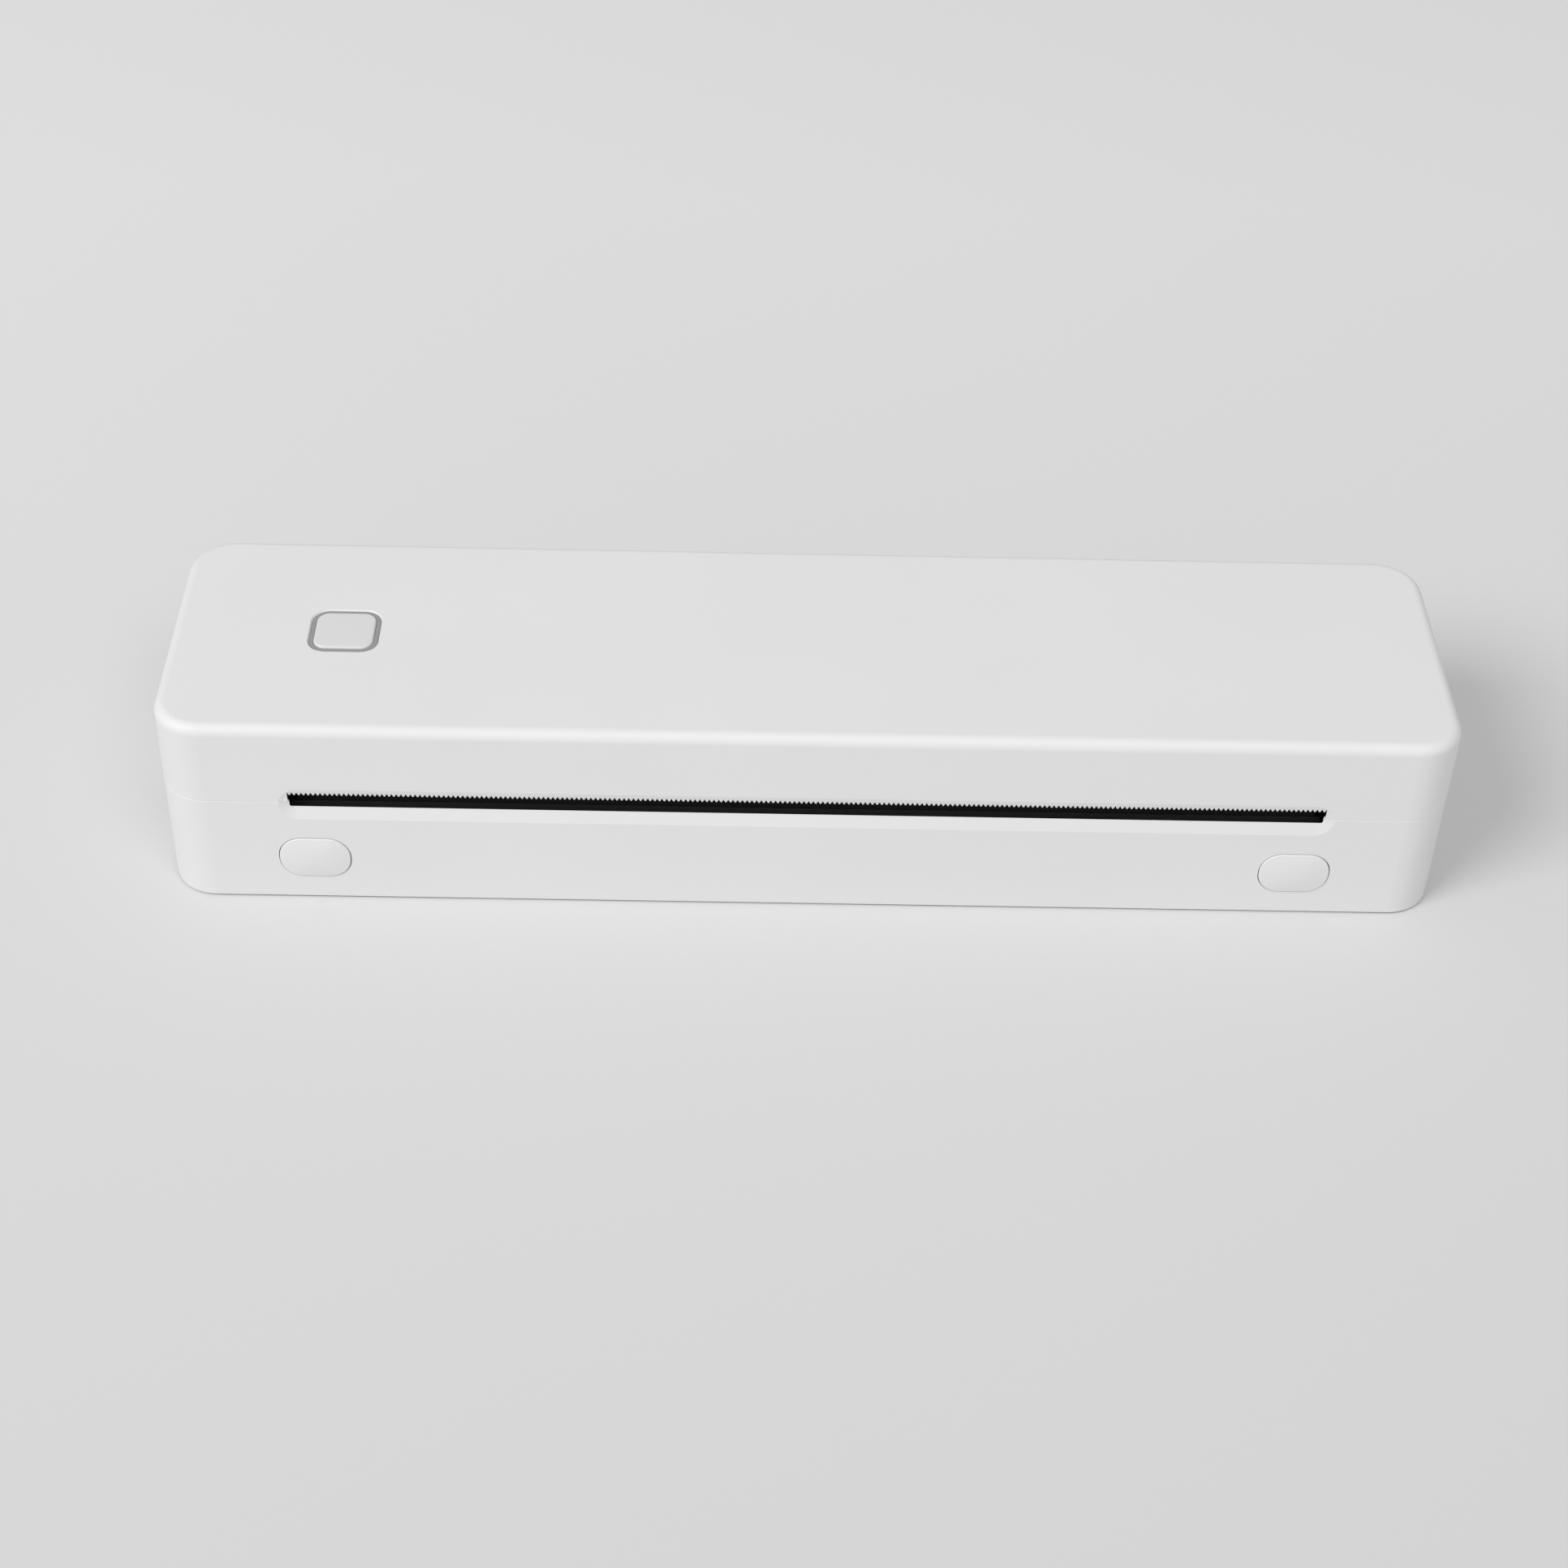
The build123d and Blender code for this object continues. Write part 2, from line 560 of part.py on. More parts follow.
# ---------------------------------------------------------------- gears
def involute_gear(teeth, x0, x1, y, z, tooth_at):
    """A spur gear along X with one tooth centred on the angle tooth_at, measured from Y to Z."""
    pitch_r = pitch_radius(teeth)
    base_r = pitch_r * cos(radians(PRESSURE_ANGLE))
    tip_r = outer_radius(teeth)
    root_r = pitch_r - MODULE * (1 + ROOT_CLEARANCE)
    half = (pi * MODULE / 2 - BACKLASH) / 2 / pitch_r

    def involute(radius):
        if radius <= base_r:
            return 0.0
        opening = acos(base_r / radius)
        return tan(opening) - opening

    steps = 2
    low = max(base_r, root_r)
    radii = [low + (tip_r - low) * i / steps for i in range(steps + 1)]
    angles = [half + involute(pitch_r) - involute(r) for r in radii]
    points = []
    for k in range(teeth):
        middle = radians(tooth_at) + 2 * pi * k / teeth
        flank = list(zip(radii, angles))
        if root_r < low:
            flank.insert(0, (root_r, angles[0]))
        for r, a in flank:
            points.append((r * cos(middle - a), r * sin(middle - a)))
        for r, a in reversed(flank):
            points.append((r * cos(middle + a), r * sin(middle + a)))
    outline = Pos(y, z) * make_face(Polyline(*points, close=True))
    return along_x(outline, x0, x1)


def bearing_angle(y0, z0, y1, z1):
    """Direction from one axis to another, in degrees from Y to Z."""
    return degrees(atan2(z1 - z0, y1 - y0))


# ---------------------------------------------------------------- base
def frame_lug_points():
    x = PLATE_OUT + FRAME_LUG_X
    return [(side * x, y) for side in (-1, 1) for y in (FRONT + FRAME_LUG_FRONT, REAR - FRAME_LUG_REAR)]


def board_hole_points():
    xs = (BOARD_LEFT + BOARD_HOLE_INSET, BOARD_RIGHT - BOARD_HOLE_INSET)
    reach = MAIN_BOARD_W / 2 - BOARD_HOLE_INSET
    return [(x, MAIN_BOARD_Y + side * reach) for x in xs for side in (-1, 1)]


def foot_points():
    x = WIDTH / 2 - FOOT_INSET_X
    y = DEPTH / 2 - FOOT_INSET_Y
    return [(sx * x, sy * y) for sx in (-1, 1) for sy in (-1, 1)]


def battery_centres():
    return [BATTERY_X + side * (BATTERY_L + BATTERY_SPACING) / 2 for side in (-1, 1)]


def hinge_barrel():
    """The rounded rear rim at the right end, on which the cover turns."""
    profile = disc(HINGE_Y, HINGE_Z, HINGE_R) + rect(HINGE_Y - HINGE_R, REAR, HINGE_Z - HINGE_R, HINGE_Z)
    return along_x(profile, PLATE_OUT, WIDTH / 2) & casing_block(FOOT_LIFT, HINGE_Z + HINGE_R)


def knuckle_notch():
    """Room for the cover's knuckle at the right end, open to the rear."""
    x0 = PLATE_OUT + KNUCKLE_START - KNUCKLE_SIDE_GAP
    x1 = PLATE_OUT + KNUCKLE_START + KNUCKLE_W + KNUCKLE_SIDE_GAP
    reach = HINGE_R + THROUGH
    low = HINGE_Z - HINGE_R - KNUCKLE_CLEARANCE
    return block(x0, x1, HINGE_Y - HINGE_R - KNUCKLE_CLEARANCE, HINGE_Y + reach, low, HINGE_Z + reach)


def base_shell():
    shell = casing_block(FOOT_LIFT, SEAM_Z)
    shell = chamfer(shell.faces().sort_by(Axis.Z)[0].edges(), BOTTOM_BEVEL)
    shell = chamfer(shell.faces().sort_by(Axis.Z)[-1].edges(), SEAM_BEVEL)
    shell -= casing_core(FLOOR_TOP, SEAM_Z + THROUGH)
    shell += both_sides(hinge_barrel())
    shell -= both_sides(knuckle_notch())
    pin_hole = rod_x(PLATE_OUT - THROUGH, HINGE_END - PIN_END_GAP, HINGE_Y, HINGE_Z, PIN_R + PIN_FIT)
    shell -= both_sides(pin_hole)
    shell -= slot_recess(RECESS_DEPTH, RECESS_TAPER)
    shell -= base_mouth()
    shell -= both_sides(along_y(latch_outline(LATCH_GAP), FRONT - THROUGH, FRONT_IN + THROUGH))
    room = 2 * USB_PORT_GAP
    port = Pos(MAIN_BOARD_Y, USB_Z) * SlotOverall(USB_MOUTH_W + room, USB_MOUTH_H + room)
    shell -= along_x(port, -WIDTH / 2 - THROUGH, -END_IN + THROUGH)
    for x, y in foot_points():
        shell -= rod_z(0, FOOT_LIFT + FOOT_SET_IN, x, y, FOOT_R + FOOT_FIT)
    for x, y in frame_lug_points():
        shell += slab(x, y, FLOOR_TOP, DECK_UNDER, FRAME_POST_W, FRAME_POST_W)
        shell -= screw_hole(DECK_UNDER - SCREW_LEN + FRAME_LUG_T, DECK_UNDER, x, y)
    seat = FLOOR_TOP + STANDOFF_H
    for x, y in board_hole_points():
        shell += slab(x, y, FLOOR_TOP, seat, STANDOFF_W, STANDOFF_W)
        shell -= screw_hole(seat - SMALL_SCREW_LEN + MAIN_BOARD_T, seat, x, y, SMALL_SCREW_R)
    rib_top = PLATEN_Z - TROUGH_OUT_R - SPRING_RIB_GAP
    rib = block(LATCH_X - SPRING_RIB_W / 2, LATCH_X + SPRING_RIB_W / 2, SPRING_SEAT_Y,
                SPRING_SEAT_Y + SPRING_RIB_T, FLOOR_TOP, rib_top)
    rib += rod_y(SPRING_SEAT_Y - LATCH_SPIGOT_H, SPRING_SEAT_Y, LATCH_X, LATCH_SPRING_Z, LATCH_SPIGOT_R,
                 SPIGOT_SIDES)
    shell += both_sides(rib)
    for x in battery_centres():
        shell += battery_fence(x)
    shell += cover_switch_post()
    return shell


def battery_fence(x):
    """A low rib round one battery cell."""
    out_l = BATTERY_L + 2 * (FENCE_GAP + FENCE_T)
    out_w = BATTERY_W + 2 * (FENCE_GAP + FENCE_T)
    outer = Pos(x, BAY_Y, FLOOR_TOP) * Rectangle(out_l, out_w)
    inner = Pos(x, BAY_Y, FLOOR_TOP) * Rectangle(out_l - 2 * FENCE_T, out_w - 2 * FENCE_T)
    return extrude(outer - inner, amount=FENCE_H)


def cover_switch_place():
    length, depth, height = COVER_SWITCH_SIZE
    return (COVER_SWITCH_INSET_X - END_IN, COVER_SWITCH_Y, SEAM_Z - COVER_SWITCH_DROP - height)


def cover_switch_post():
    length, depth, height = COVER_SWITCH_SIZE
    x, y, z = cover_switch_place()
    return block(x, x + length, y - depth / 2, y + depth / 2, FLOOR_TOP, z)


def cover_switch():
    """The small switch that tells whether the cover is shut."""
    length, depth, height = COVER_SWITCH_SIZE
    x, y, z = cover_switch_place()
    body = block(x, x + length, y - depth / 2, y + depth / 2, z, z + height)
    return body + rod_z(z + height, z + height + PLUNGER_T, x + length / 2, y, PLUNGER_R)


def rubber_feet():
    return group([rod_z(0, FOOT_LIFT + FOOT_SET_IN, x, y, FOOT_R) for x, y in foot_points()])


def frame_profile():
    """The deck in section: roll bay, platen trough and the strips that carry the paper."""
    shape = disc(BAY_Y, BAY_Z, BAY_OUT_R) + disc(PLATEN_Y, PLATEN_Z, TROUGH_OUT_R)
    shape += rect(PLATEN_Y, BAY_Y, DECK_Z - DECK_SKIN, DECK_Z)
    shape += rect(BAY_Y, REAR_IN - LINER_WALL_GAP, RIM_Z - DECK_SKIN, RIM_Z)
    above = HEIGHT
    shape -= disc(BAY_Y, BAY_Z, BAY_R) + rect(BAY_Y - BAY_R, BAY_Y + BAY_R, BAY_Z, above)
    shape -= disc(PLATEN_Y, PLATEN_Z, TROUGH_R)
    shape -= rect(PLATEN_Y - TROUGH_R, PLATEN_Y + TROUGH_R, PLATEN_Z, above)
    shape -= rect(FRONT, BAY_Y, DECK_Z, above)
    shape -= rect(BAY_Y, REAR, RIM_Z, above)
    shape -= rect(FRONT, PLATEN_Y, LIP_BACK_Z, above)
    return shape


def inner_frame():
    """The deck with the lower roll bay and the platen trough. Its tabs sit in slots in the end frames."""
    frame = along_x(frame_profile(), -PLATE_IN, PLATE_IN)
    pocket_x = LATCH_X - LATCH_W / 2 - LATCH_LAP - LATCH_GAP
    pocket_top = LATCH_Z + LATCH_H / 2 + LATCH_LAP + LATCH_GAP
    frame -= both_sides(block(pocket_x, PLATE_IN, FRONT, LATCH_FREE_Y, DECK_UNDER, pocket_top))
    for y, z, thickness in tab_places():
        frame += both_sides(block(PLATE_IN, PLATE_OUT, y - TAB_W / 2, y + TAB_W / 2, z, z + thickness))
    length, depth, height = SENSOR_SIZE
    half_l, half_d = length / 2 + SENSOR_GAP, depth / 2 + SENSOR_GAP
    return frame - block(SENSOR_X - half_l, SENSOR_X + half_l, SENSOR_Y - half_d, SENSOR_Y + half_d,
                         DECK_Z - DECK_SKIN - THROUGH, DECK_Z + THROUGH)


def tab_places():
    """Middle in Y, underside in Z and thickness of each tab at the deck's ends."""
    return [(BAY_Y, DECK_UNDER, BAY_SKIN), (SENSOR_Y, DECK_Z - DECK_SKIN, DECK_SKIN)]


def motor_ear_points():
    angle = radians(MOTOR_EAR_ANGLE)
    return [(MOTOR_Y + side * MOTOR_EAR_PITCH_R * cos(angle), MOTOR_Z + side * MOTOR_EAR_PITCH_R * sin(angle))
            for side in (-1, 1)]


def end_frame():
    """The right end frame: it carries the platen's bush and stands on two screwed lugs."""
    plate = along_x(rect(LATCH_FREE_Y, BAY_Y + BAY_OUT_R, DECK_UNDER, RIM_Z), PLATE_IN, PLATE_OUT)
    plate -= rod_x(PLATE_IN - THROUGH, PLATE_OUT + THROUGH, PLATEN_Y, PLATEN_Z, BUSH_R + PIN_FIT)
    for x, y in frame_lug_points():
        if x > 0:
            half, top = FRAME_LUG_W / 2, DECK_UNDER + FRAME_LUG_T
            plate += block(PLATE_OUT, x + half, y - half, y + half, DECK_UNDER, top)
            plate -= screw_hole(DECK_UNDER - THROUGH, top + THROUGH, x, y, gap=SCREW_PASS)
    for y, z, thickness in tab_places():
        half = TAB_W / 2 + TAB_GAP
        plate -= block(PLATE_IN - THROUGH, PLATE_OUT + THROUGH, y - half, y + half, z - TAB_GAP,
                       z + thickness + TAB_GAP)
    return plate


def end_frames():
    """Both end frames. The right one also has the posts for the motor and the idler's stud."""
    frames = both_sides(end_frame())
    for y, z in motor_ear_points():
        frames += rod_x(PLATE_IN, PLATE_OUT, y, z, MOTOR_EAR_R, SCREW_SIDES)
        frames += rod_x(PLATE_OUT, FLANGE_X - MOTOR_FLANGE_T, y, z, MOTOR_POST_R, SCREW_SIDES)
        frames -= rod_x(FLANGE_X - SCREW_LEN, FLANGE_X, y, z, SMALL_SCREW_R + SCREW_FIT, SCREW_SIDES)
    return frames - rod_x(PLATE_IN - THROUGH, PLATE_OUT + THROUGH, IDLER_Y, IDLER_Z, STUD_R + PIN_FIT)


def frame_screws():
    return group([screw_z(x, y, DECK_UNDER + FRAME_LUG_T, 1) for x, y in frame_lug_points()])


def paper_sensor():
    """A small optical sensor let into the deck between the roll bay and the platen."""
    length, depth, height = SENSOR_SIZE
    body = Pos(SENSOR_X, SENSOR_Y, DECK_Z) * Box(length, depth, height, align=TOP_DOWN)
    flange = Box(length + 2 * SENSOR_FLANGE, depth, height - DECK_SKIN, align=TOP_DOWN)
    return body + Pos(SENSOR_X, SENSOR_Y, DECK_Z - DECK_SKIN) * flange


def battery_cells():
    top = FLOOR_TOP + BATTERY_T
    return group([rounded_plate(x, BAY_Y, FLOOR_TOP, top, BATTERY_L, BATTERY_W, BATTERY_CORNER_R)
                  for x in battery_centres()])


def battery_board():
    half = PACK_BOARD_L / 2
    x0 = BATTERY_X - PACK_BOARD_W / 2
    return block(x0, x0 + PACK_BOARD_W, BAY_Y - half, BAY_Y + half, FLOOR_TOP, FLOOR_TOP + PACK_BOARD_T)


def main_board():
    half, low = MAIN_BOARD_W / 2, FLOOR_TOP + STANDOFF_H
    board = block(BOARD_LEFT, BOARD_RIGHT, MAIN_BOARD_Y - half, MAIN_BOARD_Y + half, low, low + MAIN_BOARD_T)
    for x, y in board_hole_points():
        board -= screw_hole(FLOOR_TOP, DECK_UNDER, x, y, SMALL_SCREW_R, SCREW_PASS)
    return board


def board_screws():
    seat = FLOOR_TOP + STANDOFF_H + MAIN_BOARD_T
    return group([small_screw(x, y, seat, 1) for x, y in board_hole_points()])


def board_chips():
    """The chips and cable sockets of the main board, and a capacitor that stands on it."""
    top = FLOOR_TOP + STANDOFF_H + MAIN_BOARD_T
    chips = []
    for share, across, length, width, height in CHIPS:
        x = BOARD_RIGHT - share * MAIN_BOARD_L
        chips.append(slab(x, MAIN_BOARD_Y + across, top, top + height, length, width))
    from_end, from_rear = CAPACITOR_INSET
    y = MAIN_BOARD_Y + MAIN_BOARD_W / 2 - from_rear
    chips.append(rod_z(top, top + CAPACITOR_H, BOARD_LEFT + from_end, y, CAPACITOR_R))
    return group(chips)


def usb_socket():
    """A charging socket with an oval metal shell and its tongue."""
    mouth = USB_SET_BACK - WIDTH / 2
    back = mouth + USB_LEN - USB_BACK_T
    outer = Pos(MAIN_BOARD_Y, USB_Z) * SlotOverall(USB_MOUTH_W, USB_MOUTH_H)
    inner = Pos(MAIN_BOARD_Y, USB_Z) * SlotOverall(USB_MOUTH_W - 2 * USB_SKIN, USB_MOUTH_H - 2 * USB_SKIN)
    socket = along_x(outer, mouth, back + USB_BACK_T) - along_x(inner, mouth - THROUGH, back)
    tongue = Pos(MAIN_BOARD_Y, USB_Z) * Rectangle(USB_TONGUE_W, USB_TONGUE_T)
    return socket + along_x(tongue, mouth + USB_BACK_T, back)


def platen_bushes():
    bush = rod_x(PLATE_IN, PLATE_OUT, PLATEN_Y, PLATEN_Z, BUSH_R)
    bush += rod_x(PLATE_OUT, PLATE_OUT + BUSH_FLANGE_T, PLATEN_Y, PLATEN_Z, BUSH_FLANGE_R)
    bore = rod_x(PLATE_IN - THROUGH, GEAR_END, PLATEN_Y, PLATEN_Z, PLATEN_SHAFT_R + PIN_RUN)
    return both_sides(bush - bore)


def stepper_motor():
    can = rod_x(PLATE_OUT + MOTOR_SIDE_GAP, FLANGE_X - MOTOR_FLANGE_T, MOTOR_Y, MOTOR_Z, MOTOR_R)
    flange = disc(MOTOR_Y, MOTOR_Z, MOTOR_R)
    ears = Pos(MOTOR_Y, MOTOR_Z) * Rot(0, 0, MOTOR_EAR_ANGLE)
    flange += ears * SlotOverall(2 * (MOTOR_EAR_PITCH_R + MOTOR_EAR_R), 2 * MOTOR_EAR_R)
    for y, z in motor_ear_points():
        flange -= Pos(y, z) * RegularPolygon(SMALL_SCREW_R + SCREW_PASS, SCREW_SIDES)
    motor = can + along_x(flange, FLANGE_X - MOTOR_FLANGE_T, FLANGE_X)
    motor += rod_x(FLANGE_X, FLANGE_X + MOTOR_BOSS_T, MOTOR_Y, MOTOR_Z, MOTOR_BOSS_R)
    return motor - rod_x(FLANGE_X - 2 * THROUGH, LARGE_X, MOTOR_Y, MOTOR_Z, MOTOR_SHAFT_R + PIN_RUN)


def motor_screws():
    screws = []
    for y, z in motor_ear_points():
        shank = rod_x(FLANGE_X - SCREW_LEN, FLANGE_X, y, z, SMALL_SCREW_R, SCREW_SIDES)
        screws.append(shank + rod_x(FLANGE_X, FLANGE_X + SMALL_HEAD_T, y, z, SMALL_HEAD_R, SCREW_SIDES))
    return group(screws)


def idler_stud():
    stud = rod_x(PLATE_IN, LARGE_END + STUD_TAIL, IDLER_Y, IDLER_Z, STUD_R)
    return stud + rod_x(PLATE_OUT, GEAR_X - CLIP_GAP, IDLER_Y, IDLER_Z, STUD_COLLAR_R)


def stud_clip():
    x0 = LARGE_END + CLIP_GAP
    ring = rod_x(x0, x0 + CLIP_T, IDLER_Y, IDLER_Z, STUD_CLIP_R)
    return ring - rod_x(x0 - THROUGH, x0 + CLIP_T + THROUGH, IDLER_Y, IDLER_Z, STUD_R)


def hinge_pins():
    pin = rod_x(PLATE_OUT + PIN_END_GAP, HINGE_END - 2 * PIN_END_GAP, HINGE_Y, HINGE_Z, PIN_R)
    return both_sides(pin)


# ---------------------------------------------------------------- platen and gears
def platen_shaft():
    x0 = -PLATE_OUT - SHAFT_LEFT_TAIL
    shaft = rod_x(x0, GEAR_END, PLATEN_Y, PLATEN_Z, PLATEN_SHAFT_R)
    flat_z = PLATEN_Z + PLATEN_SHAFT_R - SHAFT_FLAT
    return shaft - block(GEAR_X, GEAR_END + THROUGH, PLATEN_Y - PLATEN_R, PLATEN_Y + PLATEN_R, flat_z, SEAM_Z)


def platen_rubber():
    half = PLATE_IN - PLATEN_SIDE_GAP
    tube = rod_x(-half, half, PLATEN_Y, PLATEN_Z, PLATEN_R)
    return tube - rod_x(-PLATE_IN, PLATE_IN, PLATEN_Y, PLATEN_Z, PLATEN_SHAFT_R)


def platen_clips():
    x0 = PLATE_OUT + BUSH_FLANGE_T + CLIP_GAP
    ring = rod_x(x0, x0 + CLIP_T, PLATEN_Y, PLATEN_Z, CLIP_R)
    ring -= rod_x(x0 - THROUGH, x0 + CLIP_T + THROUGH, PLATEN_Y, PLATEN_Z, PLATEN_SHAFT_R)
    return both_sides(ring)


def platen_gear():
    tooth_at = bearing_angle(PLATEN_Y, PLATEN_Z, IDLER_Y, IDLER_Z)
    gear = involute_gear(PLATEN_TEETH, GEAR_X, GEAR_END, PLATEN_Y, PLATEN_Z, tooth_at)
    gear += rod_x(PLATE_OUT + GEAR_HUB_START, GEAR_X, PLATEN_Y, PLATEN_Z, GEAR_HUB_R)
    return gear - platen_shaft() - rod_x(PLATE_OUT, GEAR_X, PLATEN_Y, PLATEN_Z, PLATEN_SHAFT_R)


def reduction_gear():
    small_at = bearing_angle(IDLER_Y, IDLER_Z, PLATEN_Y, PLATEN_Z) + 180 / IDLER_SMALL_TEETH
    large_at = bearing_angle(IDLER_Y, IDLER_Z, MOTOR_Y, MOTOR_Z)
    gear = involute_gear(IDLER_SMALL_TEETH, GEAR_X, LARGE_X, IDLER_Y, IDLER_Z, small_at)
    gear += involute_gear(IDLER_LARGE_TEETH, LARGE_X, LARGE_END, IDLER_Y, IDLER_Z, large_at)
    return gear - rod_x(PLATE_OUT, LARGE_END + THROUGH, IDLER_Y, IDLER_Z, STUD_R + PIN_RUN)


def motor_pinion():
    tooth_at = bearing_angle(MOTOR_Y, MOTOR_Z, IDLER_Y, IDLER_Z) + 180 / PINION_TEETH
    gear = involute_gear(PINION_TEETH, LARGE_X, LARGE_END, MOTOR_Y, MOTOR_Z, tooth_at)
    return gear - rod_x(FLANGE_X, LARGE_END + THROUGH, MOTOR_Y, MOTOR_Z, MOTOR_SHAFT_R)


def motor_shaft():
    return rod_x(FLANGE_X - THROUGH, LARGE_END + CLIP_GAP, MOTOR_Y, MOTOR_Z, MOTOR_SHAFT_R)


# ---------------------------------------------------------------- latches
def latch_outline(gap=0.0):
    """The button's oval, or with a gap the opening round it."""
    width, height = LATCH_W + 2 * gap, LATCH_H + 2 * gap
    return Pos(LATCH_X, LATCH_Z) * RectangleRounded(width, height, LATCH_R + gap)


def latch_right():
    """A sliding button with a plate behind the wall and an arm whose hook lies over the cover's catch."""
    rim = FRONT - LATCH_PROUD
    button = along_y(latch_outline(), rim, LATCH_PLATE_Y)
    button += extrude(front_plane(rim) * latch_outline(), amount=LATCH_CROWN, taper=LATCH_TAPER)
    plate_x0 = LATCH_X - LATCH_W / 2 - LATCH_LAP
    plate_z0 = LATCH_Z - LATCH_H / 2 - LATCH_LAP
    plate_z1 = LATCH_Z + LATCH_H / 2 + LATCH_LAP
    latch = button + block(plate_x0, ARM_X + ARM_W, LATCH_PLATE_Y, LATCH_BACK_Y, plate_z0, plate_z1)
    arm_back = ARM_Y + ARM_T
    hook_top = HOOK_Z + HOOK_H
    latch += block(ARM_X, ARM_X + ARM_W, LATCH_PLATE_Y, arm_back, plate_z1 - ARM_FOOT_H, plate_z1)
    latch += block(ARM_X, ARM_X + ARM_W, ARM_Y, arm_back, plate_z1 - ARM_FOOT_H, hook_top)
    nose = make_face(Polyline((NOSE_Y, HOOK_Z), (ARM_Y, HOOK_Z), (ARM_Y, hook_top), close=True))
    latch += along_x(nose, ARM_X, ARM_X + ARM_W)
    return latch + rod_y(LATCH_BACK_Y, LATCH_BACK_Y + LATCH_SPIGOT_H, LATCH_X, LATCH_SPRING_Z, LATCH_SPIGOT_R,
                         SPIGOT_SIDES)


def latch_spring_right():
    spring = coil(LATCH_SPRING_LEN, LATCH_SPRING_R, LATCH_SPRING_WIRE, LATCH_SPRING_TURNS)
    return Location((LATCH_X, LATCH_BACK_Y, LATCH_SPRING_Z), (-90, 0, 0)) * spring


# ---------------------------------------------------------------- cover
def liner_screw_points():
    return [(side * x, PLATEN_Y + LINER_SCREW_Y) for side in (-1, 1) for x in LINER_SCREW_X]


def ear_points():
    return [(side * (PLATE_OUT + EAR_X), REAR - EAR_FROM_REAR) for side in (-1, 1)]


def button_post_points():
    return [(BUTTON_X + side * POST_REACH, BUTTON_Y) for side in (-1, 1)]


def knuckle():
    """The cover's right hinge knuckle, with its web up to the rear wall."""
    radius = HINGE_R - KNUCKLE_CLEARANCE
    profile = disc(HINGE_Y, HINGE_Z, radius)
    profile += rect(HINGE_Y - radius, HINGE_Y + radius, HINGE_Z, HINGE_Z + KNUCKLE_WEB_H)
    x0 = PLATE_OUT + KNUCKLE_START
    lug = along_x(profile, x0, x0 + KNUCKLE_W)
    return lug - rod_x(x0 - THROUGH, x0 + KNUCKLE_W + THROUGH, HINGE_Y, HINGE_Z, PIN_R + PIN_RUN)


def cover_catches():
    """Two bent steel plates set into the cover's front wall. Their feet lie under the latch hooks."""
    front, back = (FRONT_IN + edge for edge in CATCH_SHEET)
    head_low, head_high = (SEAM_Z + edge for edge in CATCH_HEAD_Z)
    foot_top = CATCH_Z + CATCH_T
    pocket = FRONT_IN - CATCH_SET_IN
    outline = [(pocket, head_high), (pocket, head_low), (FRONT_IN, head_low), (front, head_low - CATCH_JOG)]
    outline += [(front, CATCH_Z), (CATCH_Y, CATCH_Z), (CATCH_Y, foot_top), (back, foot_top)]
    outline.append((back, head_high))
    plate = make_face(Polyline(*outline, close=True))
    return both_sides(along_x(plate, ARM_X - CATCH_SIDE, ARM_X + ARM_W + CATCH_SIDE))


def top_cover():
    shell = casing_block(SEAM_Z, HEIGHT)
    shell = fillet(shell.faces().sort_by(Axis.Z)[-1].edges(), TOP_EDGE_R)
    shell = chamfer(shell.faces().sort_by(Axis.Z)[0].edges(), SEAM_BEVEL)
    shell -= casing_core(SEAM_Z - THROUGH, CEILING)
    hinge_room = disc(HINGE_Y, HINGE_Z, HINGE_FREE_R)
    hinge_room += rect(HINGE_Y, REAR + THROUGH, HINGE_Z - THROUGH, HINGE_Z + HINGE_FREE_R)
    shell -= along_x(hinge_room, -WIDTH / 2 - THROUGH, WIDTH / 2 + THROUGH)
    shell -= seam_slit()
    shell -= slot_recess(TOP_RECESS_DEPTH, TOP_RECESS_TAPER)
    shell -= cover_mouth()
    window_w = BUTTON_W + 2 * (RING_W + RING_GAP)
    window_d = BUTTON_D + 2 * (RING_W + RING_GAP)
    shell -= rounded_plate(BUTTON_X, BUTTON_Y, CEILING - THROUGH, HEIGHT + THROUGH, window_w, window_d,
                           BUTTON_R + RING_W + RING_GAP)
    shell = chamfer(shell.faces().sort_by(Axis.Z)[-1].inner_wires()[0].edges(), WINDOW_BEVEL)
    shell += both_sides(knuckle())
    shell -= cover_catches()
    liner_posts = [(x, y, HEAD_CEILING + CEILING_T) for x, y in liner_screw_points()]
    liner_posts += [(x, y, EAR_Z + EAR_T) for x, y in ear_points()]
    for x, y, low in liner_posts:
        shell += slab(x, y, low, CEILING, LINER_POST_W, LINER_POST_W)
        shell -= screw_hole(low, low + SCREW_LEN - CEILING_T, x, y)
    for x, y in button_post_points():
        shell += slab(x, y, BOARD_TOP, CEILING, LINER_POST_W, LINER_POST_W)
        shell -= screw_hole(BOARD_TOP, BOARD_Z + SMALL_SCREW_LEN, x, y, SMALL_SCREW_R)
    return shell


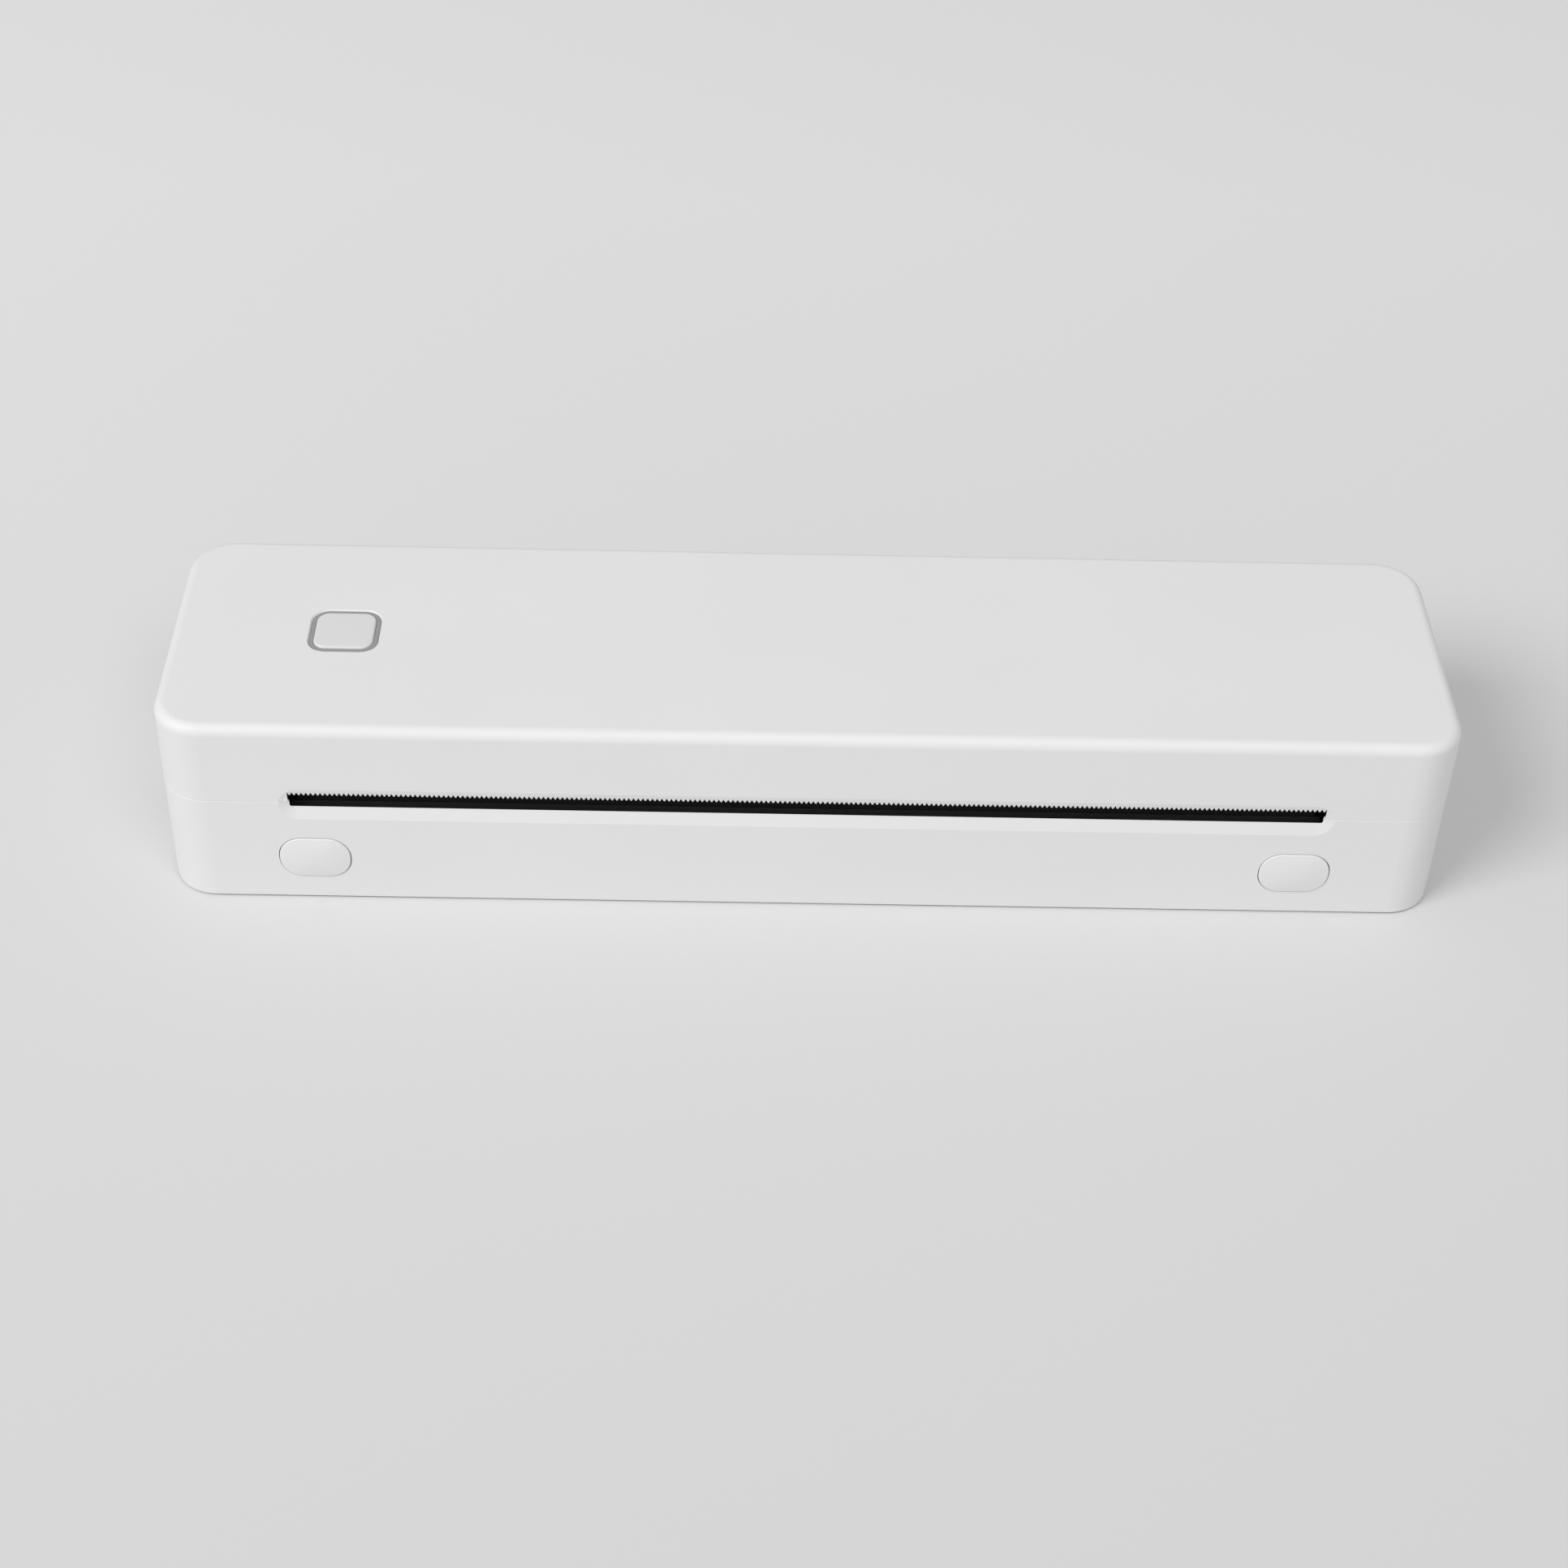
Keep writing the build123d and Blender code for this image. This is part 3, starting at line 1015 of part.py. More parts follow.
def tear_bar():
    """The toothed edge above the slot, with its body behind the cover's wall."""
    half = SLOT_W / 2
    count = round(SLOT_W / TOOTH_PITCH)
    pitch = SLOT_W / count
    edge = [(half, BAR_SEAT_Z), (-half, BAR_SEAT_Z), (-half, TOOTH_ROOT_Z)]
    for k in range(count):
        left = -half + k * pitch
        edge += [(left + pitch / 2, TOOTH_ROOT_Z - TOOTH_H), (left + pitch, TOOTH_ROOT_Z)]
    comb = along_y(make_face(Polyline(*edge, close=True)), TEETH_Y, FRONT_IN)
    low = TOOTH_ROOT_Z - TOOTH_H
    body = block(-half - BAR_SIDE, half + BAR_SIDE, FRONT_IN, FRONT_IN + BAR_T, low, low + BAR_H)
    return comb + body


def liner_profile():
    """The liner in section: upper roll bay, ceiling over the print head and rear paper guide."""
    shape = disc(BAY_Y, BAY_Z, BAY_OUT_R)
    shape += rect(FRONT_IN + BAR_T + LINER_WALL_GAP, BAY_Y, HEAD_CEILING, HEAD_CEILING + CEILING_T)
    shape += rect(BAY_Y, REAR_IN - LINER_WALL_GAP, LINER_REAR_Z, LINER_REAR_Z + CEILING_T)
    shape -= disc(BAY_Y, BAY_Z, BAY_R)
    shape -= rect(FRONT, BAY_Y, 0, SEAM_Z + LINER_FRONT_RISE)
    shape -= rect(BAY_Y, REAR, 0, LINER_REAR_Z)
    return shape


def liner_end_profile():
    front = FRONT_IN + BAR_T + LINER_WALL_GAP
    low = SEAM_Z + LINER_FRONT_RISE
    shape = disc(BAY_Y, BAY_Z, BAY_OUT_R) - rect(FRONT, REAR, 0, low)
    shape -= rect(BAY_Y, REAR, 0, LINER_REAR_Z)
    return shape + rect(front, BAY_Y, low, HEAD_CEILING + CEILING_T)


def head_spring_points():
    return [(side * x, PLATEN_Y) for side in (-1, 1) for x in HEAD_SPRING_X]


def cover_liner():
    liner = along_x(liner_profile(), -PLATE_IN, PLATE_IN)
    plate = along_x(liner_end_profile(), PLATE_IN, PLATE_OUT)
    plate -= rod_x(PLATE_IN - THROUGH, PLATE_OUT + THROUGH, PIVOT_Y, PIVOT_Z, HEAD_PIN_R + PIN_FIT)
    for x, y in ear_points():
        if x > 0:
            half = EAR_W / 2
            plate += block(PLATE_OUT, x + half, y - half, y + half, EAR_Z, EAR_Z + EAR_T)
            plate -= screw_hole(EAR_Z - THROUGH, EAR_Z + EAR_T + THROUGH, x, y, gap=SCREW_PASS)
    liner += both_sides(plate)
    for x, y in liner_screw_points():
        liner -= screw_hole(HEAD_CEILING - THROUGH, HEAD_CEILING + CEILING_T + THROUGH, x, y, gap=SCREW_PASS)
    for x, y in head_spring_points():
        liner += rod_z(HEAD_CEILING - SPIGOT_H, HEAD_CEILING, x, y, SPIGOT_R, SPIGOT_SIDES)
    return liner


def liner_screws():
    seats = [(x, y, HEAD_CEILING) for x, y in liner_screw_points()] + [(x, y, EAR_Z) for x, y in ear_points()]
    return group([screw_z(x, y, z, -1) for x, y, z in seats])


def light_ring():
    """The translucent frame round the power button, which the lamps on the board light up."""
    width, depth, radius = BUTTON_W + 2 * RING_W, BUTTON_D + 2 * RING_W, BUTTON_R + RING_W
    lap = 2 * RING_FLANGE_LAP
    top = HEIGHT - RING_DROP
    ring = rounded_plate(BUTTON_X, BUTTON_Y, CEILING - RING_FLANGE_T, top, width, depth, radius)
    ring += slab(BUTTON_X, BUTTON_Y, CEILING - RING_FLANGE_T, CEILING, width + lap, depth + lap)
    hole = rounded_plate(BUTTON_X, BUTTON_Y, SEAM_Z, HEIGHT + THROUGH, BUTTON_W + 2 * RING_GAP,
                         BUTTON_D + 2 * RING_GAP, BUTTON_R + RING_GAP)
    return ring - hole


def button_board():
    half_l = POST_REACH + LINER_POST_W / 2
    half_w = LAMP_REACH + BOARD_MARGIN
    x0, x1 = BUTTON_X - half_l, BUTTON_X + half_l
    board = block(x0, x1, BUTTON_Y - half_w, BUTTON_Y + half_w, BOARD_Z, BOARD_TOP)
    for x, y in button_post_points():
        board -= screw_hole(BOARD_Z - THROUGH, BOARD_TOP + THROUGH, x, y, SMALL_SCREW_R, SCREW_PASS)
    return board


def button_board_screws():
    return group([small_screw(x, y, BOARD_Z, -1) for x, y in button_post_points()])


def button_switch():
    half = SWITCH_SIZE / 2
    top = BOARD_TOP + SWITCH_T
    body = block(BUTTON_X - half, BUTTON_X + half, BUTTON_Y - half, BUTTON_Y + half, BOARD_TOP, top)
    floor = PLUNGER_TOP - PLUNGER_T - BUTTON_TRAVEL - SCREW_FIT
    return body - rod_z(floor, top + THROUGH, BUTTON_X, BUTTON_Y, PLUNGER_R + PLUNGER_GAP)


def switch_plunger():
    return rod_z(PLUNGER_TOP - PLUNGER_T, PLUNGER_TOP, BUTTON_X, BUTTON_Y, PLUNGER_R)


def button_lamps():
    """Four lamps under the light ring's flange."""
    length, width, height = LAMP_SIZE
    lamp = block(-length / 2, length / 2, -width / 2, width / 2, BOARD_TOP, BOARD_TOP + height)
    places = [(sx * BUTTON_W / 4, sy * LAMP_REACH) for sx in (-1, 1) for sy in (-1, 1)]
    return group([Pos(BUTTON_X + x, BUTTON_Y + y) * lamp for x, y in places])


def power_button():
    """The square cap, with its skirt, the flange that keeps it in and the boss on the switch."""
    top = HEIGHT + BUTTON_PROUD
    low = CEILING - RING_FLANGE_T - BUTTON_GAP - BUTTON_FLANGE_T
    cap = rounded_plate(BUTTON_X, BUTTON_Y, low, top, BUTTON_W, BUTTON_D, BUTTON_R)
    cap = chamfer(cap.faces().sort_by(Axis.Z)[-1].edges(), BUTTON_BEVEL)
    lap = 2 * BUTTON_FLANGE_LAP
    cap += slab(BUTTON_X, BUTTON_Y, low, low + BUTTON_FLANGE_T, BUTTON_W + lap, BUTTON_D + lap)
    thin = 2 * BUTTON_SKIRT_T
    cap -= rounded_plate(BUTTON_X, BUTTON_Y, low - THROUGH, top - BUTTON_FACE_T, BUTTON_W - thin,
                         BUTTON_D - thin, BUTTON_R - BUTTON_SKIRT_T)
    return cap + rod_z(PLUNGER_TOP, top - BUTTON_FACE_T, BUTTON_X, BUTTON_Y, PLUNGER_R)


# ---------------------------------------------------------------- print head
def head_heatsink():
    y0, y1 = (PLATEN_Y + edge for edge in HEATSINK_Y)
    rib0, rib1 = (PLATEN_Y + edge for edge in HEATSINK_RIB_Y)
    profile = rect(y0, y1, HEATSINK_Z, HEATSINK_TOP)
    profile += rect(rib0, rib1, HEATSINK_Z, HEATSINK_TOP + HEATSINK_RIB_RISE)
    for edge in FIN_Y:
        fin = PLATEN_Y + edge
        profile += rect(fin - FIN_T / 2, fin + FIN_T / 2, HEATSINK_Z, HEATSINK_TOP + FIN_RISE)
    sink = along_x(profile, -HEAD_HALF, HEAD_HALF)
    bore = rod_x(HEAD_HALF - HEAD_PIN_BORE, HEAD_HALF + THROUGH, PIVOT_Y, PIVOT_Z, HEAD_PIN_R + PIN_RUN)
    sink -= both_sides(bore)
    for x, y in head_spring_points():
        sink += rod_z(HEATSINK_TOP, HEATSINK_TOP + SPIGOT_H, x, y, SPIGOT_R, SPIGOT_SIDES)
    return sink


def head_substrate():
    y0, y1 = (PLATEN_Y + edge for edge in SUBSTRATE_Y)
    return block(-HEAD_HALF, HEAD_HALF, y0, y1, HEAD_Z, HEATSINK_Z)


def heater_line():
    half = PLATE_IN - PLATEN_SIDE_GAP
    return block(-half, half, PLATEN_Y - HEATER_W / 2, PLATEN_Y + HEATER_W / 2, HEAD_Z - HEATER_T, HEAD_Z)


def driver_cover():
    y0, y1 = (PLATEN_Y + edge for edge in DRIVER_COVER_Y)
    half = HEAD_HALF - DRIVER_COVER_SIDE
    return block(-half, half, y0, y1, HEATSINK_Z - DRIVER_COVER_T, HEATSINK_Z)


def head_connector():
    length, width, height = CONNECTOR_SIZE
    y = PLATEN_Y + (FIN_Y[-1] + FIN_T / 2 + HEATSINK_RIB_Y[0]) / 2
    return block(-length / 2, length / 2, y - width / 2, y + width / 2, HEATSINK_TOP, HEATSINK_TOP + height)


def head_pivots():
    pin = rod_x(HEAD_HALF - HEAD_PIN_BORE + HEAD_SIDE_GAP, PLATE_OUT, PIVOT_Y, PIVOT_Z, HEAD_PIN_R)
    return both_sides(pin)


def head_springs():
    spring = coil(HEAD_CEILING_GAP, HEAD_SPRING_R, HEAD_SPRING_WIRE, HEAD_SPRING_TURNS)
    return group([Pos(x, y, HEATSINK_TOP) * spring for x, y in head_spring_points()])


# ---------------------------------------------------------------- build
NODES = {
    "base_shell": base_shell,
    "rubber_feet": rubber_feet,
    "inner_frame": inner_frame,
    "end_frames": end_frames,
    "frame_screws": frame_screws,
    "battery_cells": battery_cells,
    "battery_board": battery_board,
    "main_board": main_board,
    "board_screws": board_screws,
    "board_chips": board_chips,
    "usb_socket": usb_socket,
    "paper_sensor": paper_sensor,
    "cover_switch": cover_switch,
    "platen_bushes": platen_bushes,
    "stepper_motor": stepper_motor,
    "motor_screws": motor_screws,
    "idler_stud": idler_stud,
    "stud_clip": stud_clip,
    "hinge_pins": hinge_pins,
    "latch_spring_right": latch_spring_right,
    "latch_right": latch_right,
    "platen_shaft": platen_shaft,
    "platen_rubber": platen_rubber,
    "platen_clips": platen_clips,
    "platen_gear": platen_gear,
    "reduction_gear": reduction_gear,
    "motor_pinion": motor_pinion,
    "motor_shaft": motor_shaft,
    "top_cover": top_cover,
    "cover_catches": cover_catches,
    "tear_bar": tear_bar,
    "cover_liner": cover_liner,
    "liner_screws": liner_screws,
    "light_ring": light_ring,
    "button_board": button_board,
    "button_board_screws": button_board_screws,
    "button_switch": button_switch,
    "button_lamps": button_lamps,
    "head_pivots": head_pivots,
    "head_springs": head_springs,
    "power_button": power_button,
    "switch_plunger": switch_plunger,
    "head_heatsink": head_heatsink,
    "head_substrate": head_substrate,
    "heater_line": heater_line,
    "driver_cover": driver_cover,
    "head_connector": head_connector,
}
MIRRORED = {"latch_left": latch_right, "latch_spring_left": latch_spring_right}


def build():
    os.makedirs("parts", exist_ok=True)
    for name, make in NODES.items():
        export_step(make(), f"parts/{name}.step")
    for name, make in MIRRORED.items():
        export_step(mirror(make(), Plane.YZ), f"parts/{name}.step")


build()
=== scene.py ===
# %% [markdown]
# # A slim thermal printer for A4 paper
# The casing is two white moulded shells on a rear hinge, with a toothed paper slot, two latch
# buttons and a power button. The solids come ready made as a fixed frame, in metres, and this
# lesson dresses them: it keeps the solids whose shape is right, gives every one a finish, and
# makes the pieces that need softer shapes again as surfaces worked out with numpy.

# %% Load the frame
import json
import math

import bmesh
import bpy
import numpy as np
from mathutils import Matrix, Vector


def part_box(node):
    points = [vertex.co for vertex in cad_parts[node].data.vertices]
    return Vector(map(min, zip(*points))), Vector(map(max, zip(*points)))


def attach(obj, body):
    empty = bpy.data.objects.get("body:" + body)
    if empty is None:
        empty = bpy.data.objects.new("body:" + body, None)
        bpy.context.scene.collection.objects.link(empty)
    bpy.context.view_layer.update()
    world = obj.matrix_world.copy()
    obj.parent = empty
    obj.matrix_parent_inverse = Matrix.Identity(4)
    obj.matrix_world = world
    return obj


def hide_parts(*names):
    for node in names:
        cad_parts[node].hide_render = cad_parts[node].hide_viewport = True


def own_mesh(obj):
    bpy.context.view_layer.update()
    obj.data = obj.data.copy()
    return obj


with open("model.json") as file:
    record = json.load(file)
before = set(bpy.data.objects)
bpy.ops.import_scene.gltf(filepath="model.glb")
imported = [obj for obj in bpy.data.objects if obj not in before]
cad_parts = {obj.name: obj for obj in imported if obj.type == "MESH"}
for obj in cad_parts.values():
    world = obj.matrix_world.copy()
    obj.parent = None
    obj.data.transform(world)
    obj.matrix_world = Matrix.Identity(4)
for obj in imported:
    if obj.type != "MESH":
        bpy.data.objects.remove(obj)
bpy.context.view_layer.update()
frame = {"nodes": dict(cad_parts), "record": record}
nodes = frame["nodes"]
MM = 0.001


def box_mm(node):
    """The lower and the upper corner of a solid's box, in mm."""
    return [np.array(corner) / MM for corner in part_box(node)]


# %% [markdown]
# ## Camera
# The view is that of someone who stands in front of a desk and looks down on the printer. A camera
# is a point and three directions: to the right, up and forward. They are written as one matrix,
# which is easier to check than three turned angles.

# %% Camera
EYE_MM = np.array([-16.979, -480.0753, 415.2881])
YAW, PITCH, ROLL = 0.0260, 0.7058, 0.0337
FOCAL_MM, SENSOR_MM = 64.15, 36.0


def camera_directions(yaw, pitch, roll):
    """Forward is turned by yaw and tipped down by pitch; right and up are then rolled about it."""
    level_part, drop = math.cos(pitch), math.sin(pitch)
    forward = np.array([math.sin(yaw) * level_part, math.cos(yaw) * level_part, -drop])
    level = np.array([math.cos(yaw), -math.sin(yaw), 0.0])
    upright = np.cross(level, forward)
    right = level * math.cos(roll) + upright * math.sin(roll)
    up = upright * math.cos(roll) - level * math.sin(roll)
    return right, up, forward


right, up, forward = camera_directions(YAW, PITCH, ROLL)
camera = bpy.data.objects.new("camera", bpy.data.cameras.new("camera"))
camera.data.lens = FOCAL_MM
camera.data.sensor_width = SENSOR_MM
pose = np.eye(4)
pose[:3, 0], pose[:3, 1], pose[:3, 2], pose[:3, 3] = right, up, -forward, EYE_MM * MM
camera.matrix_world = Matrix(pose.tolist())
bpy.context.scene.collection.objects.link(camera)
bpy.context.scene.camera = camera
print("camera at", EYE_MM, "mm")

# %% [markdown]
# ## Nodes and colours
# A material is a small net of nodes. One function adds a node, sets its properties and fills its
# sockets, and a value that is itself a socket becomes a link. Colours are picked on a screen, so
# they are written as hex sRGB and one function turns them into the linear light that the renderer
# works in.


# %% Helpers for materials
def linear(hex_colour):
    """Each sRGB channel is undone by the standard curve: a line near black, a power of 2.4 above."""
    srgb = np.array([int(hex_colour[i:i + 2], 16) / 255 for i in (0, 2, 4)])
    light = np.where(srgb <= 0.04045, srgb / 12.92, ((srgb + 0.055) / 1.055) ** 2.4)
    return (*light.tolist(), 1.0)


def per_mm(size_mm):
    """Scale of a pattern on coordinates in metres whose detail is size_mm across."""
    return 1 / (size_mm * MM)


def add(tree, kind, sockets=None, **settings):
    """Adds a node. Sockets maps an input's name or number to a value, or to an output to link it to."""
    node = tree.nodes.new(kind)
    for name, value in settings.items():
        setattr(node, name, value)
    for name, value in (sockets or {}).items():
        if isinstance(value, bpy.types.NodeSocket):
            tree.links.new(value, node.inputs[name])
        else:
            node.inputs[name].default_value = value
    return node


def new_finish(name):
    """An empty material with its output, and the piece's own coordinates in metres."""
    material = bpy.data.materials.new(name)
    material.use_nodes = True
    material.node_tree.nodes.clear()
    place = add(material.node_tree, "ShaderNodeTexCoord").outputs["Object"]
    return material, material.node_tree, place


def close_finish(material, tree, shader):
    """Links the last shader to the output and hands the material back."""
    add(tree, "ShaderNodeOutputMaterial", {"Surface": shader.outputs[0]})
    return material


print("hex dcdcdc is", round(linear("dcdcdc")[0], 3), "in linear light")

# %% [markdown]
# ## Floor, world and lamps
# The printer stands on a plain pale table top. A broad soft key lamp high at the front left gives
# the soft shadow behind and on the right, and a wider fill lamp further off at the front right lifts
# the front. The world is a plain white dome that fills the shadows, and where the camera would see
# the dome it sees the floor's own pale grey. The dome and the lamps together light a level surface to
# about 1, so that a colour looks as it is written.

# %% Floor
# Painted light and shade: the floor's colour runs from the darker front to the paler back, as the light falls
# on the table.
FLOOR_FRONT_HEX, FLOOR_BACK_HEX = "d1d1d1", "e4e4e4"
FLOOR_SHADE_FADE_MM = (-330.0, 330.0)
FLOOR_DRIFT_MM, FLOOR_DRIFT_SHARE = 350, 0.15
FLOOR_HALF_MM = 4000.0


def floor_finish():
    """Matt painted board whose colour carries painted light: darker towards the front and paler towards the
    back, with a faint drift of the gun.
    """
    material, tree, place = new_finish("matt_painted_board")
    drift = add(tree, "ShaderNodeTexNoise", {"Vector": place, "Scale": per_mm(FLOOR_DRIFT_MM),
                                             "Detail": 1.0})
    apart = add(tree, "ShaderNodeSeparateXYZ", {"Vector": place})
    # Painted shade: the colour blends from the darker front to the paler back along y.
    painted_falloff = add(tree, "ShaderNodeMapRange", {"Value": apart.outputs["Y"],
                                            "From Min": FLOOR_SHADE_FADE_MM[0] * MM,
                                            "From Max": FLOOR_SHADE_FADE_MM[1] * MM})
    share = add(tree, "ShaderNodeMath", {0: drift.outputs["Fac"], 1: FLOOR_DRIFT_SHARE,
                                         2: painted_falloff.outputs["Result"]},
                operation="MULTIPLY_ADD", use_clamp=True)
    # A Mix node has sockets of one name for each data type, so the colour ones are set by number.
    colour = add(tree, "ShaderNodeMix", {0: share.outputs[0], 6: linear(FLOOR_FRONT_HEX),
                                         7: linear(FLOOR_BACK_HEX)}, data_type="RGBA")
    shader = add(tree, "ShaderNodeBsdfPrincipled", {"Base Color": colour.outputs[2],
                                                    "Roughness": 0.9, "Specular IOR Level": 0.1})
    return close_finish(material, tree, shader)


floor_mesh = bpy.data.meshes.new("floor")
corners = np.array([[-1, -1, 0], [1, -1, 0], [1, 1, 0], [-1, 1, 0]]) * FLOOR_HALF_MM * MM
floor_mesh.from_pydata(corners.tolist(), [], [(0, 1, 2, 3)])
floor_mesh.materials.append(floor_finish())
floor = bpy.data.objects.new("floor", floor_mesh)
bpy.context.scene.collection.objects.link(floor)
print("floor", FLOOR_HALF_MM * 2, "mm square")

# %% World and lamps
DOME_STRENGTH = 0.46
LAMP_AIM_MM = (0, 0, 20)
world = bpy.data.worlds.new("studio")
world.use_nodes = True
world.node_tree.nodes.clear()
dome = add(world.node_tree, "ShaderNodeBackground", {"Color": linear("ffffff"),
                                                     "Strength": DOME_STRENGTH})
backdrop = add(world.node_tree, "ShaderNodeBackground", {"Color": linear(FLOOR_BACK_HEX),
                                                         "Strength": 1.0})
path = add(world.node_tree, "ShaderNodeLightPath")
seen = add(world.node_tree, "ShaderNodeMixShader", {0: path.outputs["Is Camera Ray"], 1: dome.outputs[0],
                                                    2: backdrop.outputs[0]})
add(world.node_tree, "ShaderNodeOutputWorld", {"Surface": seen.outputs[0]})
bpy.context.scene.world = world
bpy.context.scene.view_settings.view_transform = "Standard"


def soft_lamp(name, place_mm, aim_mm, size_mm, watts):
    """A round area lamp at a place, facing its aim: its axes are right, up and backward vectors."""
    data = bpy.data.lights.new(name, "AREA")
    data.shape = "DISK"
    data.size = size_mm * MM
    data.energy = watts
    back = np.array(place_mm, float) - np.array(aim_mm, float)
    back /= np.linalg.norm(back)
    side = np.cross([0.0, 0.0, 1.0], back)
    side /= np.linalg.norm(side)
    turn = np.eye(4)
    turn[:3, 0], turn[:3, 1], turn[:3, 2] = side, np.cross(back, side), back
    turn[:3, 3] = np.array(place_mm) * MM
    lamp = bpy.data.objects.new(name, data)
    lamp.matrix_world = Matrix(turn.tolist())
    bpy.context.scene.collection.objects.link(lamp)
    return lamp


def lamp_place(from_left, from_front, height, reach_mm):
    """The place at a distance from the printer in the direction that the three shares add up to."""
    way = np.array([-from_left, -from_front, height])
    return way / np.linalg.norm(way) * reach_mm


soft_lamp("key_lamp", lamp_place(0.79, 0.61, 0.91, reach_mm=3600), LAMP_AIM_MM,
          size_mm=1850, watts=68.0)
soft_lamp("fill_lamp", lamp_place(-0.3, 0.65, 1.0, reach_mm=8000), LAMP_AIM_MM,
          size_mm=4400, watts=136.0)
print("dome at", DOME_STRENGTH, "and 2 lamps")

# %% [markdown]
# ## Surfaces from arrays
# A new piece is a grid of points worked out for two parameters at once: one goes along a profile
# and one goes round a loop. The faces join each point with its neighbours. All points and all faces
# are computed as whole arrays, and the sign of the enclosed volume tells which way the faces must
# turn so that they look outwards.


# %% Grids of points and their faces
def tube_faces(rows, around):
    """Quads from rows i, i+1 and columns j, j+1, the last column joined to the first, and two lids."""
    i, j = np.meshgrid(np.arange(rows - 1), np.arange(around), indexing="ij")
    a, b = i * around + j, i * around + (j + 1) % around
    quads = np.stack([a, b, b + around, a + around], axis=-1).reshape(-1, 4)
    lids = [list(range(around))[::-1], list(range((rows - 1) * around, rows * around))]
    return quads.tolist() + lids


def six_volumes(a, b, c):
    """The sum of a . (b x c) over triangles, which is six times the volume that they enclose."""
    return np.einsum("ij,ij->", a, np.cross(b, c))


def shell_from(grid):
    """Points and outward faces of a tube that two lids close. Each face counts as a fan of triangles."""
    rows, around = grid.shape[:2]
    points = grid.reshape(-1, 3)
    faces = tube_faces(rows, around)
    quads = np.array(faces[:-2])
    a, b, c, d = (points[quads[:, k]] for k in range(4))
    volume = six_volumes(a, b, c) + six_volumes(a, c, d)
    for lid in faces[-2:]:
        ring = points[lid]
        volume += six_volumes(np.broadcast_to(ring[0], ring[1:-1].shape), ring[1:-1], ring[2:])
    return points, [face[::-1] for face in faces] if volume < 0 else faces


def piece_from(name, shells, crease=40.0):
    """One object from several closed shells in mm. Edges sharper than the crease angle stay sharp."""
    points, faces, start = [], [], 0
    for shell_points, shell_faces in shells:
        points.append(shell_points)
        faces += [[k + start for k in face] for face in shell_faces]
        start += len(shell_points)
    mesh = bpy.data.meshes.new(name)
    mesh.from_pydata((np.concatenate(points) * MM).tolist(), [], faces)
    mesh.shade_smooth()
    mesh.set_sharp_from_angle(angle=math.radians(crease))
    piece = bpy.data.objects.new(name, mesh)
    bpy.context.scene.collection.objects.link(piece)
    print(name, len(mesh.polygons), "faces")
    return piece


def rounded_loops(half_x, half_y, radius, around=96):
    """Rounded rectangles, one a row: each point is its corner's centre plus radius times (cos, sin)."""
    turn = (np.arange(around) + 0.5) / around * 2 * np.pi
    half_x, half_y, radius = (np.asarray(v, float)[:, None] for v in (half_x, half_y, radius))
    x = np.sign(np.cos(turn)) * (half_x - radius) + radius * np.cos(turn)
    y = np.sign(np.sin(turn)) * (half_y - radius) + radius * np.sin(turn)
    return x, y


# A face whose loops shrink to its middle keeps its innermost loop open by this share of its size.
INNERMOST = 0.03
print("closed tubes, rounded loops down to", INNERMOST, "of their size")

# %% [markdown]
# ## Power button
# The cap is a small moulded pillow: its face is a little crowned, its rim is rounded and its skirt
# runs down to a flange that keeps it in the cover. A box with a bevel would have a flat face, which
# catches the light all at once, so the face is a stack of rounded rectangles that shrink towards
# the middle while they rise.

# %% Power button
CAP_HALF = (6.425, 6.15)
CAP_R = 2.8
CAP_RIM_R = 0.5
CAP_CROWN = 0.10
CAP_T, CAP_SKIRT_T = 1.5, 1.0
CAP_FLANGE, FLANGE_T = 1.2, 0.7
FLANGE_MIN_R = 0.4
BOSS_R, BOSS_SUNK = 1.5, 0.1
cap_low, cap_high = box_mm("power_button")
ring_low, ring_high = box_mm("light_ring")
cap_x, cap_y = (cap_low[0] + cap_high[0]) / 2, (cap_low[1] + cap_high[1]) / 2


def pillow_profile(half, radius, rim, crown, top, drop=None, steps=14):
    """Rows from the middle out: the face falls by crown times t squared, the rim by a quarter ellipse."""
    drop = drop or rim
    t = np.linspace(INNERMOST, 1.0, steps)
    turn = np.linspace(0, np.pi / 2, 9)[1:]
    inset = rim * (1 - np.sin(turn))
    half_x = np.concatenate([t * (half[0] - rim), half[0] - inset])
    half_y = np.concatenate([t * (half[1] - rim), half[1] - inset])
    corner = np.concatenate([t * (radius - rim), radius - inset])
    height = np.concatenate([top - crown * t**2, top - crown - drop + drop * np.cos(turn)])
    return half_x, half_y, corner, height


def cap_grid():
    """The pillow, then the outside of the skirt, the flange, and the inside back up to the middle."""
    half_x, half_y, corner, height = pillow_profile(CAP_HALF, CAP_R, CAP_RIM_R, CAP_CROWN, cap_high[2])
    flange_top, ceiling = cap_low[2] + FLANGE_T, cap_high[2] - CAP_T
    offset = np.array([0.0, CAP_FLANGE, CAP_FLANGE, -CAP_SKIRT_T, -CAP_SKIRT_T])
    level = np.array([flange_top, flange_top, cap_low[2], cap_low[2], ceiling])
    shrink = np.array([0.5, INNERMOST])
    half_x = np.concatenate([half_x, CAP_HALF[0] + offset, shrink * (CAP_HALF[0] - CAP_SKIRT_T)])
    half_y = np.concatenate([half_y, CAP_HALF[1] + offset, shrink * (CAP_HALF[1] - CAP_SKIRT_T)])
    corner = np.concatenate([corner, np.maximum(CAP_R + offset, FLANGE_MIN_R),
                             shrink * (CAP_R - CAP_SKIRT_T)])
    height = np.concatenate([height, level, [ceiling, ceiling]])
    x, y = rounded_loops(half_x, half_y, corner)
    return np.stack([cap_x + x, cap_y + y, np.broadcast_to(height[:, None], x.shape)], axis=-1)


